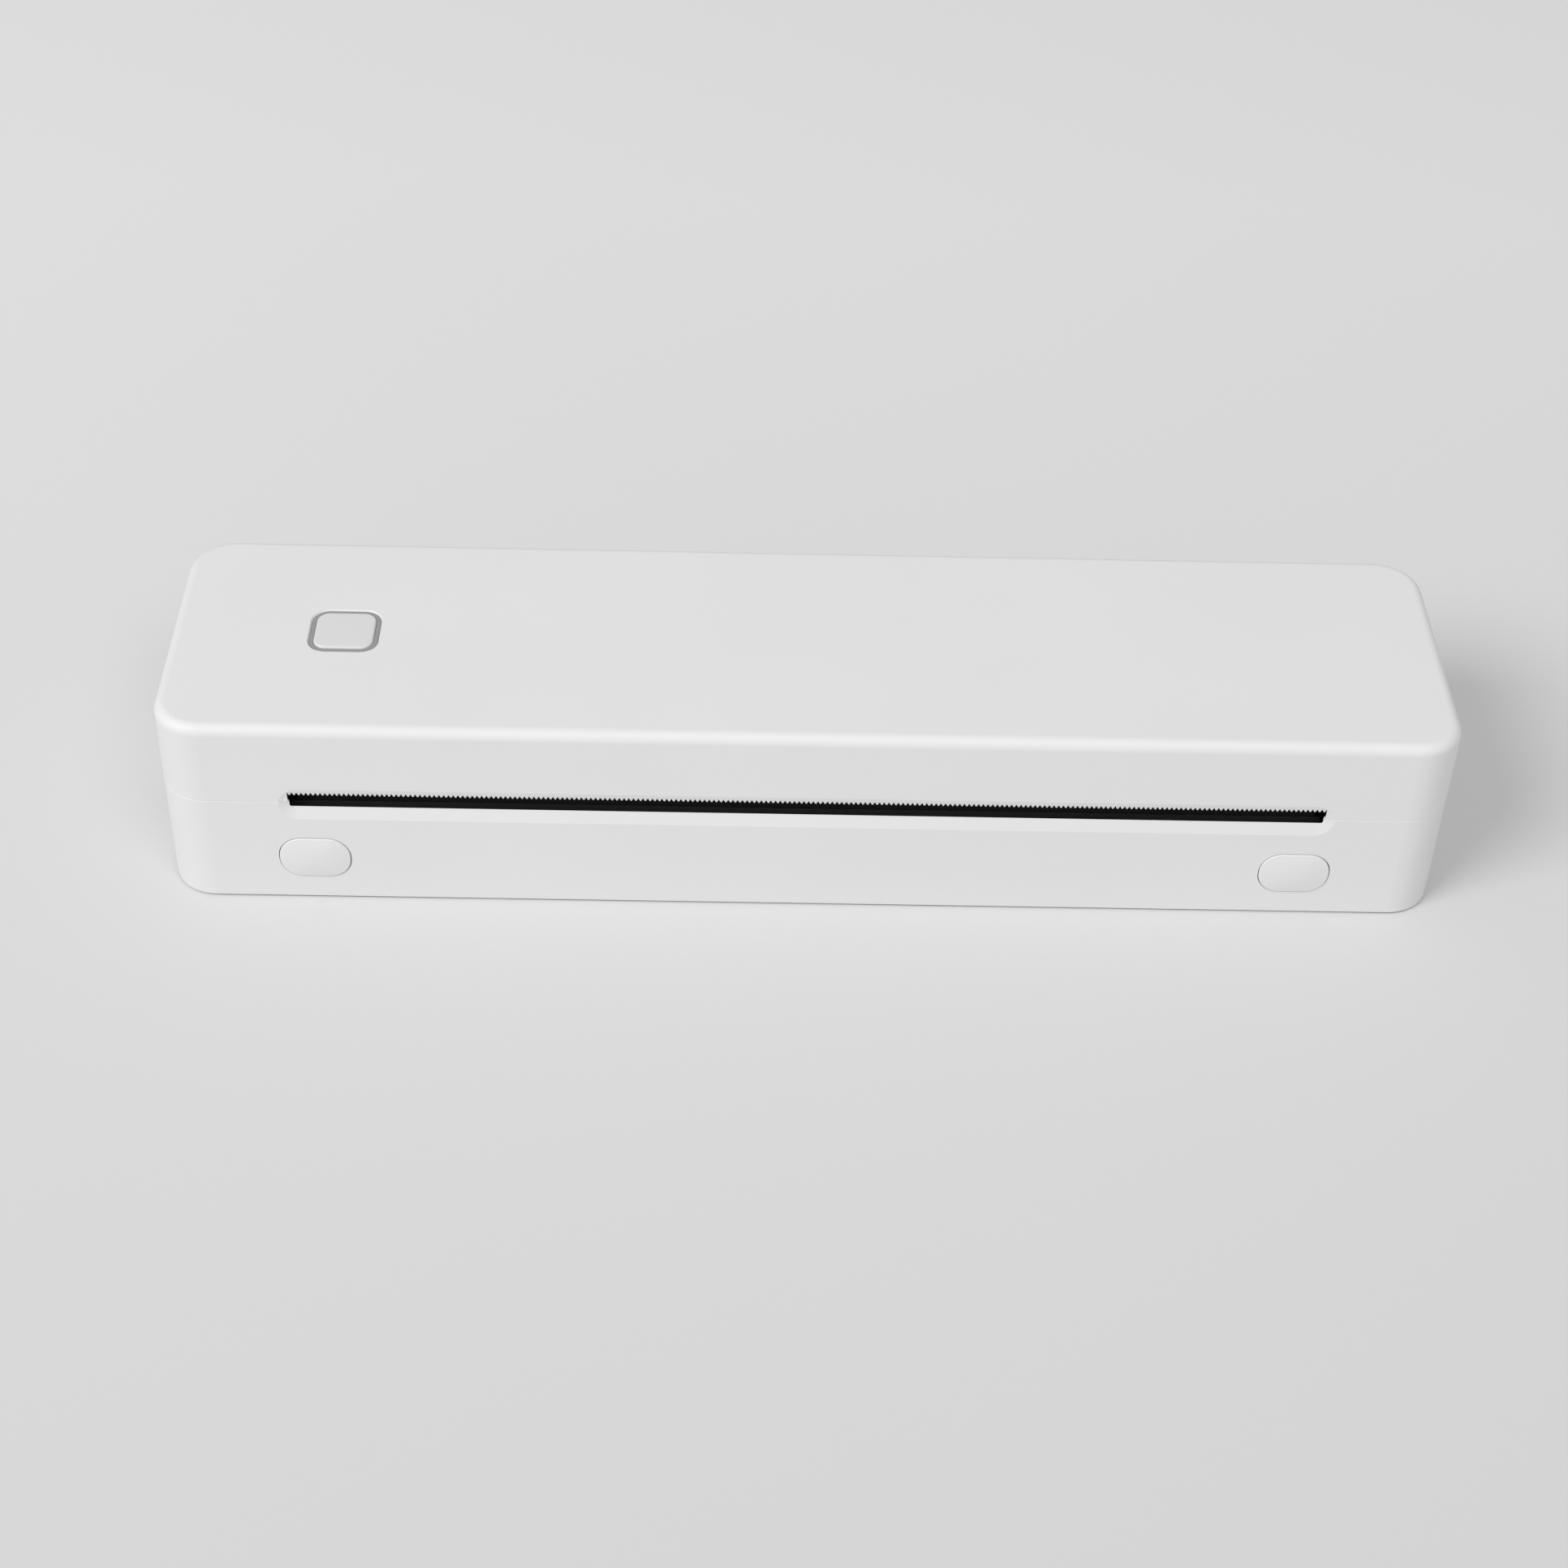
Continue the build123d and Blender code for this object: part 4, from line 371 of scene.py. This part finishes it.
def disc_loops(radii, heights, x, y, around=32):
    """Circles of given radii at given heights about one upright axis."""
    turn = np.arange(around) / around * 2 * np.pi
    radii, heights = np.asarray(radii, float)[:, None], np.asarray(heights, float)[:, None]
    return np.stack([x + radii * np.cos(turn), y + radii * np.sin(turn), heights + 0 * turn], axis=-1)


# A boss under the cap reaches down to the switch's plunger.
plunger_top = box_mm("switch_plunger")[1][2]
boss = disc_loops([BOSS_R, BOSS_R], [plunger_top, cap_high[2] - CAP_T + BOSS_SUNK], cap_x, cap_y)
button_cap = piece_from("button_cap", [shell_from(cap_grid()), shell_from(boss)])
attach(button_cap, "button")
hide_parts("power_button")

# %% [markdown]
# ## Light ring
# A grey guide frames the cap and carries the lamps' light up to the top. Its upper edges are soft,
# so it shows as one thin line of even width. It is a closed section carried round the cap's outline,
# which keeps the gap between the two the same all the way round.

# %% Light ring
# The section's places are measured outwards from the cap's outline.
RING_HOLE, RING_OUT, RING_FLANGE = 0.04, 1.0, 2.2
RING_SOFT = 0.14


def ring_grid():
    """The ring's section: its flange, up the outside, over a softly rounded top, down the inside."""
    turn = np.linspace(0, np.pi / 2, 6)
    rise, top = RING_SOFT * np.sin(turn), ring_high[2] - RING_SOFT
    run = RING_SOFT * np.cos(turn)
    flange_top = ring_low[2] + FLANGE_T
    offset = np.concatenate([[RING_FLANGE, RING_FLANGE, RING_OUT], RING_OUT - RING_SOFT + run,
                             RING_HOLE + RING_SOFT - rise, [RING_HOLE, RING_FLANGE]])
    level = np.concatenate([[ring_low[2], flange_top, flange_top], top + rise, top + run,
                            [ring_low[2], ring_low[2]]])
    x, y = rounded_loops(CAP_HALF[0] + offset, CAP_HALF[1] + offset, CAP_R + offset)
    return np.stack([cap_x + x, cap_y + y, np.broadcast_to(level[:, None], x.shape)], axis=-1)


def open_shell_from(grid):
    """A closed section carried round a loop has no lids: its first and last rows are the same."""
    rows, around = grid.shape[0] - 1, grid.shape[1]
    points = grid[:-1].reshape(-1, 3)
    i, j = np.meshgrid(np.arange(rows), np.arange(around), indexing="ij")
    a, b = i * around + j, i * around + (j + 1) % around
    c, d = (i + 1) % rows * around + (j + 1) % around, (i + 1) % rows * around + j
    quads = np.stack([a, b, c, d], axis=-1).reshape(-1, 4)
    a, b, c, d = (points[quads[:, k]] for k in range(4))
    volume = six_volumes(a, b, c) + six_volumes(a, c, d)
    return points, (quads[:, ::-1] if volume < 0 else quads).tolist()


light_guide = piece_from("light_guide", [open_shell_from(ring_grid())])
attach(light_guide, "cover")
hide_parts("light_ring")

# %% [markdown]
# ## Tear edge
# Torn paper needs a row of small teeth. The real ones are moulded, so their tips are a little round
# and the gaps between them are sharp. Each tooth is half of a hyperbola, which has straight flanks
# and a round tip: the lower edge is a function of the place along the slot, and the bar's section is
# carried along it. Two hundred and twenty separate teeth would be heavier and would show joints.

# %% Tear edge
TEETH = 220
TOOTH_PITCH = 1.0
TOOTH_DEEP = 0.75
TOOTH_STEPS = 12
TIP_SOFT = 0.22
TOOTH_EDGE_R = 0.12
TOOTH_BACK_Y = -31.3
TOOTH_LAP = 0.15
bar_low, bar_high = box_mm("tear_bar")


def tooth_line():
    """Places along the slot and the edge's drop, which falls with the root of u squared + soft squared."""
    u = np.tile(np.linspace(-1, 1, TOOTH_STEPS, endpoint=False), TEETH)
    centre = np.repeat(np.arange(TEETH) + 0.5, TOOTH_STEPS) * TOOTH_PITCH - TEETH * TOOTH_PITCH / 2
    along = np.append(centre + u * TOOTH_PITCH / 2, TEETH * TOOTH_PITCH / 2)
    reach = math.sqrt(1 + TIP_SOFT**2) - TIP_SOFT
    drop = TOOTH_DEEP * (1 - (np.sqrt(u**2 + TIP_SOFT**2) - TIP_SOFT) / reach)
    return along, np.append(drop, 0.0)


def comb_grid():
    """A section in y and z at each place: front face, soft lower edge, underside, back and top."""
    along, drop = tooth_line()
    root = bar_low[2] + TOOTH_DEEP
    turn = np.linspace(0, np.pi / 2, 4)
    front_y = bar_low[1] + TOOTH_EDGE_R - TOOTH_EDGE_R * np.cos(turn)
    front_z = TOOTH_EDGE_R - TOOTH_EDGE_R * np.sin(turn)
    y = np.concatenate([[bar_low[1]], front_y, [TOOTH_BACK_Y, TOOTH_BACK_Y]])
    # The two upper edges don't follow the teeth: they run straight, a little above the roots.
    z = root - drop[:, None] + np.concatenate([[0.0], front_z, [0.0, 0.0]])
    z[:, [0, -1]] = root + TOOTH_LAP
    return np.stack([np.broadcast_to(along[:, None], z.shape), np.broadcast_to(y, z.shape), z], axis=-1)


def block_grid(low, high):
    """A plain bar along x: its four corners at each end."""
    y = np.array([low[1], high[1], high[1], low[1]])
    z = np.array([low[2], low[2], high[2], high[2]])
    return np.stack([np.stack([np.full(4, x), y, z], axis=-1) for x in (low[0], high[0])])


back_bar = block_grid((bar_low[0], TOOTH_BACK_Y, bar_low[2]), bar_high)
tear_edge = piece_from("tear_edge", [shell_from(comb_grid()), shell_from(back_bar)], crease=50)
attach(tear_edge, "cover")
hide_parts("tear_bar")

# %% [markdown]
# ## Latch buttons
# Each latch ends in an oval button that swells out of the front wall like a low dome, so the light
# fades slowly from its upper to its lower side. The plate, arm and hook behind the wall are right as
# they are, so a copy of the solid is cut just inside the wall's face and the new button, which is the
# same pillow with a higher crown and a thinner rim, is joined to it.

# %% Latch buttons
KNOB_HALF = (7.55, 5.25)
KNOB_CORNER_R = 4.85
KNOB_RIM = (0.3, 0.2)
KNOB_CROWN = 0.6
KNOB_X, KNOB_Z = 105.4, 11.7
KNOB_CUT_Y = -32.9
# Points nearer to each other than this, in metres, are taken for one.
MERGE_M = 1e-6


def knob_grid(centre_x, centre_z, front_y):
    """The pillow turned to face the front, with its side carried back to the cut."""
    half_x, half_z, corner, height = pillow_profile(KNOB_HALF, KNOB_CORNER_R, KNOB_RIM[0], KNOB_CROWN,
                                                    top=0.0, drop=KNOB_RIM[1])
    half_x, half_z = np.append(half_x, KNOB_HALF[0]), np.append(half_z, KNOB_HALF[1])
    corner, height = np.append(corner, KNOB_CORNER_R), np.append(height, front_y - KNOB_CUT_Y)
    x, z = rounded_loops(half_x, half_z, corner)
    y = np.broadcast_to((front_y - height)[:, None], x.shape)
    return np.stack([centre_x + x, y, centre_z + z], axis=-1)


def cut_copy(node, cut_y):
    """A merged copy of a solid with all in front of a plane cut off and the cut closed."""
    work = bmesh.new()
    work.from_mesh(nodes[node].data)
    bmesh.ops.remove_doubles(work, verts=work.verts, dist=MERGE_M)
    geometry = work.verts[:] + work.edges[:] + work.faces[:]
    cut = bmesh.ops.bisect_plane(work, geom=geometry, plane_co=(0, cut_y * MM, 0),
                                 plane_no=(0, -1, 0), clear_outer=True)
    rim = [item for item in cut["geom_cut"] if isinstance(item, bmesh.types.BMEdge)]
    bmesh.ops.contextual_create(work, geom=rim)
    work.verts.ensure_lookup_table()
    points = np.array([vert.co[:] for vert in work.verts]) / MM
    faces = [[vert.index for vert in face.verts] for face in work.faces]
    work.free()
    return points, faces


latches = []
for side, body in (("left", "left_latch"), ("right", "right_latch")):
    latch_low = box_mm(f"latch_{side}")[0]
    knob = shell_from(knob_grid(math.copysign(KNOB_X, latch_low[0]), KNOB_Z, latch_low[1]))
    latch = piece_from(f"latch_knob_{side}", [knob, cut_copy(f"latch_{side}", KNOB_CUT_Y)])
    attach(latch, body)
    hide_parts(f"latch_{side}")
    latches.append(latch)

# %% [markdown]
# ## Springs
# The latches and the print head stand on coil springs. A spring is round wire wound on a mandrel,
# with its end turns laid close so that it stands straight. That is a circle carried along a helix
# whose rise is slow in the first and the last turn. At the limits of their joints the head's springs
# are pressed to 88 hundredths of their length and the latches' springs to 81; each is built here at one
# length.

# %% Springs
# The middle radius of the coil and the wire's thickness in mm, and the number of turns.
HEAD_COIL, HEAD_COIL_X = (1.75, 0.45, 4), (-75, -35, 35, 75)
LATCH_COIL = (1.35, 0.36, 5)
# The rise of the closed end turns, as a share of the wire's thickness.
CLOSED_PITCH = 1.25


def wire_coil(length, radius, wire, turns, steps=26, around=10):
    """At each point of the helix a circle of the wire's radius, in the plane across the tangent."""
    closed = CLOSED_PITCH * wire
    pitch = (length - wire - 2 * closed) / (turns - 2)
    turn = np.linspace(0, turns, turns * steps + 1)
    end_turns = np.minimum(turn, 1) + np.maximum(turn - turns + 1, 0)
    rise = wire / 2 + closed * end_turns + pitch * np.clip(turn - 1, 0, turns - 2)
    out = np.stack([np.cos(2 * np.pi * turn), np.sin(2 * np.pi * turn), 0 * turn], axis=-1)
    path = radius * out + rise[:, None] * np.array([0, 0, 1.0])
    along = np.gradient(path, axis=0)
    along /= np.linalg.norm(along, axis=1, keepdims=True)
    over = np.cross(along, out)
    ring = np.linspace(0, 2 * np.pi, around, endpoint=False)[None, :, None]
    return path[:, None] + wire / 2 * (out[:, None] * np.cos(ring) + over[:, None] * np.sin(ring))


low, high = box_mm("head_springs")
head_coil = wire_coil(high[2] - low[2], *HEAD_COIL)
coils = [head_coil + [x, (low[1] + high[1]) / 2, low[2]] for x in HEAD_COIL_X]
spring = piece_from("head_coils", [shell_from(coil) for coil in coils], crease=60)
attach(spring, "cover")
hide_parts("head_springs")
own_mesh(spring)
springs = [spring]
for side in ("left", "right"):
    low, high = box_mm(f"latch_spring_{side}")
    middle = (low + high) / 2
    x, y, z = np.moveaxis(wire_coil(high[1] - low[1], *LATCH_COIL), -1, 0)
    lying = np.stack([x + middle[0], z + low[1], middle[2] - y], axis=-1)
    spring = piece_from(f"latch_coil_{side}", [shell_from(lying)], crease=60)
    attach(spring, "base")
    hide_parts(f"latch_spring_{side}")
    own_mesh(spring)
    springs.append(spring)

# %% [markdown]
# ## Screws
# The frames, boards and motor are held by small pan-head screws with a cross recess. A screw is a
# stack of loops from its tip to its head. The loops are circles up to the rim of the recess, and
# from there crosses that shrink as they go down, so one grid makes the whole screw.

# %% One screw
# Shares of the head's radius: its flat middle, and each arm of the recess with half its width.
HEAD_FLAT, CROSS_ARM, CROSS_HALF = 0.70, 0.60, 0.16
# Share of the head's height that stands straight, before its edge turns in.
HEAD_STRAIGHT = 0.35
# The recess's loops: their size, and their depth as a share of the head's height.
CROSS_SIZE = np.array([1.0, 0.94, 0.55, INNERMOST])
CROSS_DEPTH = np.array([0.0, 0.12, 0.62, 0.70])
# Radius of the shank and the head, height of the head and length of the shank, in mm.
LARGE_SCREW = (1.2, 2.2, 1.4, 6.0)
SMALL_SCREW = (0.9, 1.7, 0.9, 3.0)
MOTOR_SCREW = (0.9, 1.7, 0.9, 6.0)


def cross_loop(arm, half_width, turn):
    """Distance to a cross's outline: in each bar the nearer of end and side, then the longer bar."""
    c, s = np.abs(np.cos(turn)) + 1e-9, np.abs(np.sin(turn)) + 1e-9
    return np.maximum(np.minimum(arm / c, half_width / s), np.minimum(arm / s, half_width / c))


def screw_grid(shank_r, head_r, head_t, length, around=48):
    """The tip's loops, the shank, a head whose edge is a quarter ellipse, and the loops of the recess."""
    turn = (np.arange(around) + 0.5) / around * 2 * np.pi
    arch = np.linspace(0, np.pi / 2, 6)
    radius = np.concatenate([[0.06 * shank_r, 0.6 * shank_r, shank_r, shank_r, head_r],
                             head_r * (HEAD_FLAT + (1 - HEAD_FLAT) * np.cos(arch))])
    height = np.concatenate([[-length, -length, 0.4 * shank_r - length, 0, 0],
                             head_t * (HEAD_STRAIGHT + (1 - HEAD_STRAIGHT) * np.sin(arch)),
                             head_t - head_t * CROSS_DEPTH])
    cross = cross_loop(CROSS_ARM * head_r, CROSS_HALF * head_r, turn)
    reach = np.concatenate([np.tile(radius[:, None], (1, around)), cross * CROSS_SIZE[:, None]])
    height = np.broadcast_to(height[:, None], reach.shape)
    return np.stack([reach * np.cos(turn), reach * np.sin(turn), height], axis=-1)


def turned(grid, way):
    """The screw's own upward axis turned to down or to the right."""
    x, y, z = np.moveaxis(grid, -1, 0)
    return np.stack({"up": (x, y, z), "down": (x, -y, -z), "right": (z, y, -x)}[way], axis=-1)


print("one screw has", len(screw_grid(*LARGE_SCREW)), "loops")

# %% All the screws
# Each place is the middle of a head's underside, in mm.
FRAME_PLACES = [(x, y, 9.3) for x in (-115.5, 115.5) for y in (-24.5, 20.0)]
BOARD_PLACES = [(x, y, 5.8) for x in (-131.0, -74.0) for y in (-13.5, 9.5)]
LINER_PLACES = [*((x, -17.0, 36.0) for x in (-95.0, -40.0, 40.0, 95.0)),
                *((x, 19.0, 34.0) for x in (-118.0, 118.0))]
_, head_r, head_t, _ = MOTOR_SCREW
low, high = box_mm("motor_screws")
MOTOR_PLACES = [(high[0] - head_t, high[1] - head_r, high[2] - head_r),
                (high[0] - head_t, low[1] + head_r, low[2] + head_r)]
_, head_r, head_t, _ = SMALL_SCREW
low, high = box_mm("button_board_screws")
BUTTON_BOARD_PLACES = [(x, (low[1] + high[1]) / 2, low[2] + head_t)
                       for x in (low[0] + head_r, high[0] - head_r)]
screw_rows = (("frame_screws", LARGE_SCREW, "up", "base", FRAME_PLACES),
              ("board_screws", SMALL_SCREW, "up", "base", BOARD_PLACES),
              ("motor_screws", MOTOR_SCREW, "right", "base", MOTOR_PLACES),
              ("liner_screws", LARGE_SCREW, "down", "cover", LINER_PLACES),
              ("button_board_screws", SMALL_SCREW, "down", "cover", BUTTON_BOARD_PLACES))
screws = []
for node, sizes, way, body, places in screw_rows:
    made = turned(screw_grid(*sizes), way)
    screw = piece_from(node.replace("screws", "cross_screws"),
                       [shell_from(made + place) for place in places], crease=35)
    low, high = box_mm(node)
    points = np.array([vert.co[:] for vert in screw.data.vertices]) / MM
    past = max((low - points.min(0)).max(), (points.max(0) - high).max())
    print("  past its solids' box by", round(float(past), 3), "mm")
    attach(screw, body)
    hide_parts(node)
    screws.append(screw)

# %% [markdown]
# ## Moulded plastics
# Most of the printer is injection-moulded plastic. The steel mould is spark eroded, which prints a
# very fine grain on the part, so the plastic looks satin and not glossy. The grain is a noise in
# the bump and the roughness, and a far slower one tints the colour a little, as resin flows
# unevenly. The real grain is less than a tenth of a millimetre across, too fine to show, so it is
# drawn a few tenths wide. One recipe serves all the plastics, with each one's colour and grain.


# %% Recipe for moulded plastic
def moulded(name, hex_colour, hex_tint, ior, roughness, grain_mm, grain_deep_mm, **sockets):
    """Plastic with a spark-eroded grain of a size and depth in mm, and a slow drift of tint and gloss."""
    material, tree, place = new_finish(name)
    slow = add(tree, "ShaderNodeTexNoise", {"Vector": place, "Scale": per_mm(45), "Detail": 2.0})
    tint = add(tree, "ShaderNodeMix", {0: slow.outputs["Fac"], 6: linear(hex_colour), 7: linear(hex_tint)},
               data_type="RGBA")
    grain = add(tree, "ShaderNodeTexNoise", {"Vector": place, "Scale": per_mm(grain_mm), "Detail": 3.0,
                                             "Roughness": 0.6})
    gloss = add(tree, "ShaderNodeMapRange", {"Value": grain.outputs["Fac"], "To Min": roughness - 0.04,
                                             "To Max": roughness + 0.05})
    bump = add(tree, "ShaderNodeBump", {"Height": grain.outputs["Fac"], "Strength": 0.5,
                                        "Distance": grain_deep_mm * MM})
    shader = add(tree, "ShaderNodeBsdfPrincipled", {"Base Color": tint.outputs[2], "IOR": ior,
                                                    "Roughness": gloss.outputs["Result"],
                                                    "Normal": bump.outputs["Normal"], **sockets})
    return close_finish(material, tree, shader)


finishes = {
    # Injection-moulded ABS with a fine eroded grain: soft highlights along every rounded edge.
    "white_shell": moulded("white_abs_fine_grain", "e7e7e7", "e3e3e3", 1.54, 0.52, 0.35, 0.02),
    # The same resin from a smoother mould: the small parts are a touch glossier and darker.
    "white_trim": moulded("white_abs_satin", "dfdfdf", "dbdbdb", 1.54, 0.38, 0.30, 0.01),
    # Black ABS with a coarser grain, which keeps the inside of the slot from glinting.
    "black_frame": moulded("black_abs_grained", "101011", "0c0c0d", 1.54, 0.55, 0.6, 0.05),
    # Thermoset resin over the driver chips, with a dull skin.
    "driver_resin": moulded("black_potting_resin", "161616", "1a1a1a", 1.55, 0.5, 1.5, 0.04),
    # Transfer-moulded epoxy of chips and switches, matt from its mould.
    "chip_black": moulded("black_moulded_epoxy", "18181a", "1c1c1e", 1.56, 0.5, 0.3, 0.01),
    # Natural acetal, milky white and slightly waxy.
    "gear_acetal": moulded("natural_acetal", "dcd9cc", "d6d3c6", 1.48, 0.34, 0.8, 0.006),
    "bush_acetal": moulded("dark_acetal", "1e1e20", "232325", 1.48, 0.36, 0.8, 0.006),
    # Natural nylon of connectors and plungers, warm and a little yellow.
    "connector_white": moulded("natural_nylon", "d3cdbd", "cbc5b5", 1.53, 0.42, 0.6, 0.01),
    # Grey translucent polycarbonate spreads the lamps' light round the button.
    "light_guide": moulded("grey_polycarbonate", "999a9b", "949596", 1.585, 0.30, 0.5, 0.004),
    # Clear epoxy over each lamp.
    "lamp": moulded("clear_epoxy_lamp", "e6e2c8", "dedabe", 1.5, 0.15, 1.0, 0.002),
}
print(len(finishes), "plastics")

# %% [markdown]
# ## Rubber
# The platen's silicone is ground round after it is moulded, which leaves fine rings and a dull
# bloom. The feet are plain moulded rubber. Both scatter light in a soft sheen, so a little sheen
# goes on top of a rough base.


# %% Rubber
def rubber(name, hex_colour, roughness, stretch, grain_mm, grain_deep_mm):
    """Rough dark plastic with sheen. Stretch scales the grain along each axis, so that rings can form."""
    material, tree, place = new_finish(name)
    drawn = add(tree, "ShaderNodeMapping", {"Vector": place, "Scale": stretch})
    grain = add(tree, "ShaderNodeTexNoise", {"Vector": drawn.outputs["Vector"], "Scale": per_mm(grain_mm),
                                             "Detail": 4.0})
    lift = add(tree, "ShaderNodeMapRange", {"Value": grain.outputs["Fac"], "To Min": 0.8, "To Max": 1.25})
    shade = add(tree, "ShaderNodeHueSaturation", {"Color": linear(hex_colour),
                                                  "Value": lift.outputs["Result"]})
    bump = add(tree, "ShaderNodeBump", {"Height": grain.outputs["Fac"], "Strength": 0.6,
                                        "Distance": grain_deep_mm * MM})
    shader = add(tree, "ShaderNodeBsdfPrincipled", {"Base Color": shade.outputs["Color"], "IOR": 1.43,
                                                    "Roughness": roughness, "Sheen Weight": 0.15,
                                                    "Sheen Roughness": 0.5, "Normal": bump.outputs["Normal"]})
    return close_finish(material, tree, shader)


finishes["black_rubber"] = rubber("ground_silicone", "1b1b1b", 0.75, (1.0, 0.05, 0.05), 0.25, 0.02)
finishes["foot_rubber"] = rubber("moulded_rubber", "2c2c2c", 0.8, (1.0, 1.0, 1.0), 0.5, 0.03)
print("2 rubbers")

# %% [markdown]
# ## Metals
# A metal's colour is the colour of its reflection, so the base colour is bright and the finish is
# all in the roughness. Turned shafts carry fine rings, drawn and rolled ones carry fine lines, and
# plating has a faint spangle. Each is one noise, stretched along the direction of the tool.


# %% Metals
def metal(name, hex_colour, roughness, stretch, line_mm, line_deep_mm):
    """Reflecting metal whose gloss and bump follow a noise stretched along the tool's path."""
    material, tree, place = new_finish(name)
    drawn = add(tree, "ShaderNodeMapping", {"Vector": place, "Scale": stretch})
    lines = add(tree, "ShaderNodeTexNoise", {"Vector": drawn.outputs["Vector"], "Scale": per_mm(line_mm),
                                             "Detail": 3.0})
    gloss = add(tree, "ShaderNodeMapRange", {"Value": lines.outputs["Fac"], "To Min": roughness * 0.7,
                                             "To Max": roughness * 1.4})
    bump = add(tree, "ShaderNodeBump", {"Height": lines.outputs["Fac"], "Strength": 0.4,
                                        "Distance": line_deep_mm * MM})
    shader = add(tree, "ShaderNodeBsdfPrincipled", {"Base Color": linear(hex_colour), "Metallic": 1.0,
                                                    "Roughness": gloss.outputs["Result"],
                                                    "Normal": bump.outputs["Normal"]})
    return close_finish(material, tree, shader)


finishes |= {
    # Free-cutting steel turned on a lathe: fine rings round the shaft's axis, which lies along x.
    "steel": metal("turned_bright_steel", "c4c4c2", 0.28, (1.0, 0.04, 0.04), 0.12, 0.004),
    # Patented spring wire, drawn through dies and slightly blued.
    "spring_steel": metal("drawn_spring_wire", "a9abad", 0.34, (1.0, 1.0, 1.0), 0.2, 0.004),
    # Zinc on deep-drawn sheet, with a soft spangle.
    "motor_can": metal("zinc_plated_sheet", "b4b6b8", 0.38, (1.0, 1.0, 1.0), 2.5, 0.004),
    # Brass cut on a hobbing machine, with rings from the cutter.
    "pinion_brass": metal("machined_brass", "d9b565", 0.26, (1.0, 0.06, 0.06), 0.12, 0.004),
    # Aluminium pressed through a die, which draws lines along the profile.
    "head_aluminium": metal("extruded_aluminium", "d0d1d2", 0.36, (0.02, 1.0, 1.0), 0.25, 0.006),
    # Stainless sheet folded to a shell and plated bright, nearly a mirror.
    "usb_metal": metal("plated_stainless_shell", "c9c8c6", 0.18, (1.0, 1.0, 1.0), 0.6, 0.002),
    # Aluminium laminate of a pouch cell, pressed and a little wrinkled.
    "battery_foil": metal("laminated_pouch_foil", "bfc0c2", 0.42, (1.0, 1.0, 1.0), 6.0, 0.12),
}
print("7 metals")

# %% [markdown]
# ## Ceramic, glaze and circuit boards
# The print head's strip is alumina with a glossy glaze along the heating line. A circuit board is
# green lacquer over copper tracks, and the tracks show as slightly lighter and raised lines, which
# a brick pattern draws with its mortar.

# %% Ceramic and glaze
# Alumina pressed, fired and glazed, so its shine is glassy.
finishes["head_ceramic"] = moulded("glazed_alumina", "e2dfd4", "dad7cc", 1.76, 0.22, 0.5, 0.003)
# Resistor paste printed on the strip and fired under a thin clear glaze.
finishes["heater_glaze"] = moulded("resistor_glaze", "5a4534", "4c3a2c", 1.52, 0.08, 0.8, 0.002,
                                   **{"Coat Weight": 0.6, "Coat Roughness": 0.05})
print("a fired strip and its glaze")


# %% Circuit board
def circuit_board():
    """Solder mask: dark green, with tracks 0.4 mm wide about 1.6 mm apart, raised by the copper."""
    material, tree, place = new_finish("green_solder_mask")
    tracks = add(tree, "ShaderNodeTexBrick", {"Vector": place, "Scale": per_mm(1.0),
                                              "Color1": linear("0f4a2c"), "Color2": linear("11502f"),
                                              "Mortar": linear("2a7a4c"), "Mortar Size": 0.2,
                                              "Brick Width": 9.0, "Row Height": 1.6})
    bump = add(tree, "ShaderNodeBump", {"Height": tracks.outputs["Fac"], "Strength": 0.5,
                                        "Distance": 0.035 * MM})
    shader = add(tree, "ShaderNodeBsdfPrincipled", {"Base Color": tracks.outputs["Color"], "Roughness": 0.3,
                                                    "IOR": 1.5, "Normal": bump.outputs["Normal"]})
    return close_finish(material, tree, shader)


finishes["circuit_board"] = circuit_board()
print(len(finishes), "finishes in all")

# %% [markdown]
# ## Give every piece its finish
# The record names a slot for each solid, and each slot has one finish. New pieces take the finish
# of the slot that they stand for.

# %% Assign the finishes
slot_of = {part["node"]: part["material_slot"] for part in frame["record"]["subparts"]}
for name, node in nodes.items():
    if not node.material_slots:
        node.data.materials.append(None)
    for material_slot in node.material_slots:
        material_slot.material = finishes[slot_of[name]]
new_pieces = [(button_cap, "white_trim"), (light_guide, "light_guide"), (tear_edge, "white_trim"),
              *((latch, "white_shell") for latch in latches),
              *((spring, "spring_steel") for spring in springs),
              *((screw, "steel") for screw in screws)]
for piece, slot_name in new_pieces:
    piece.data.materials.append(finishes[slot_name])
print(len(slot_of), "solids and", len(new_pieces), "new pieces dressed")

# %% [markdown]
# ## Last update
# The view layer is updated once more, so that every piece's place is current.

# %% Update the view layer
bpy.context.view_layer.update()
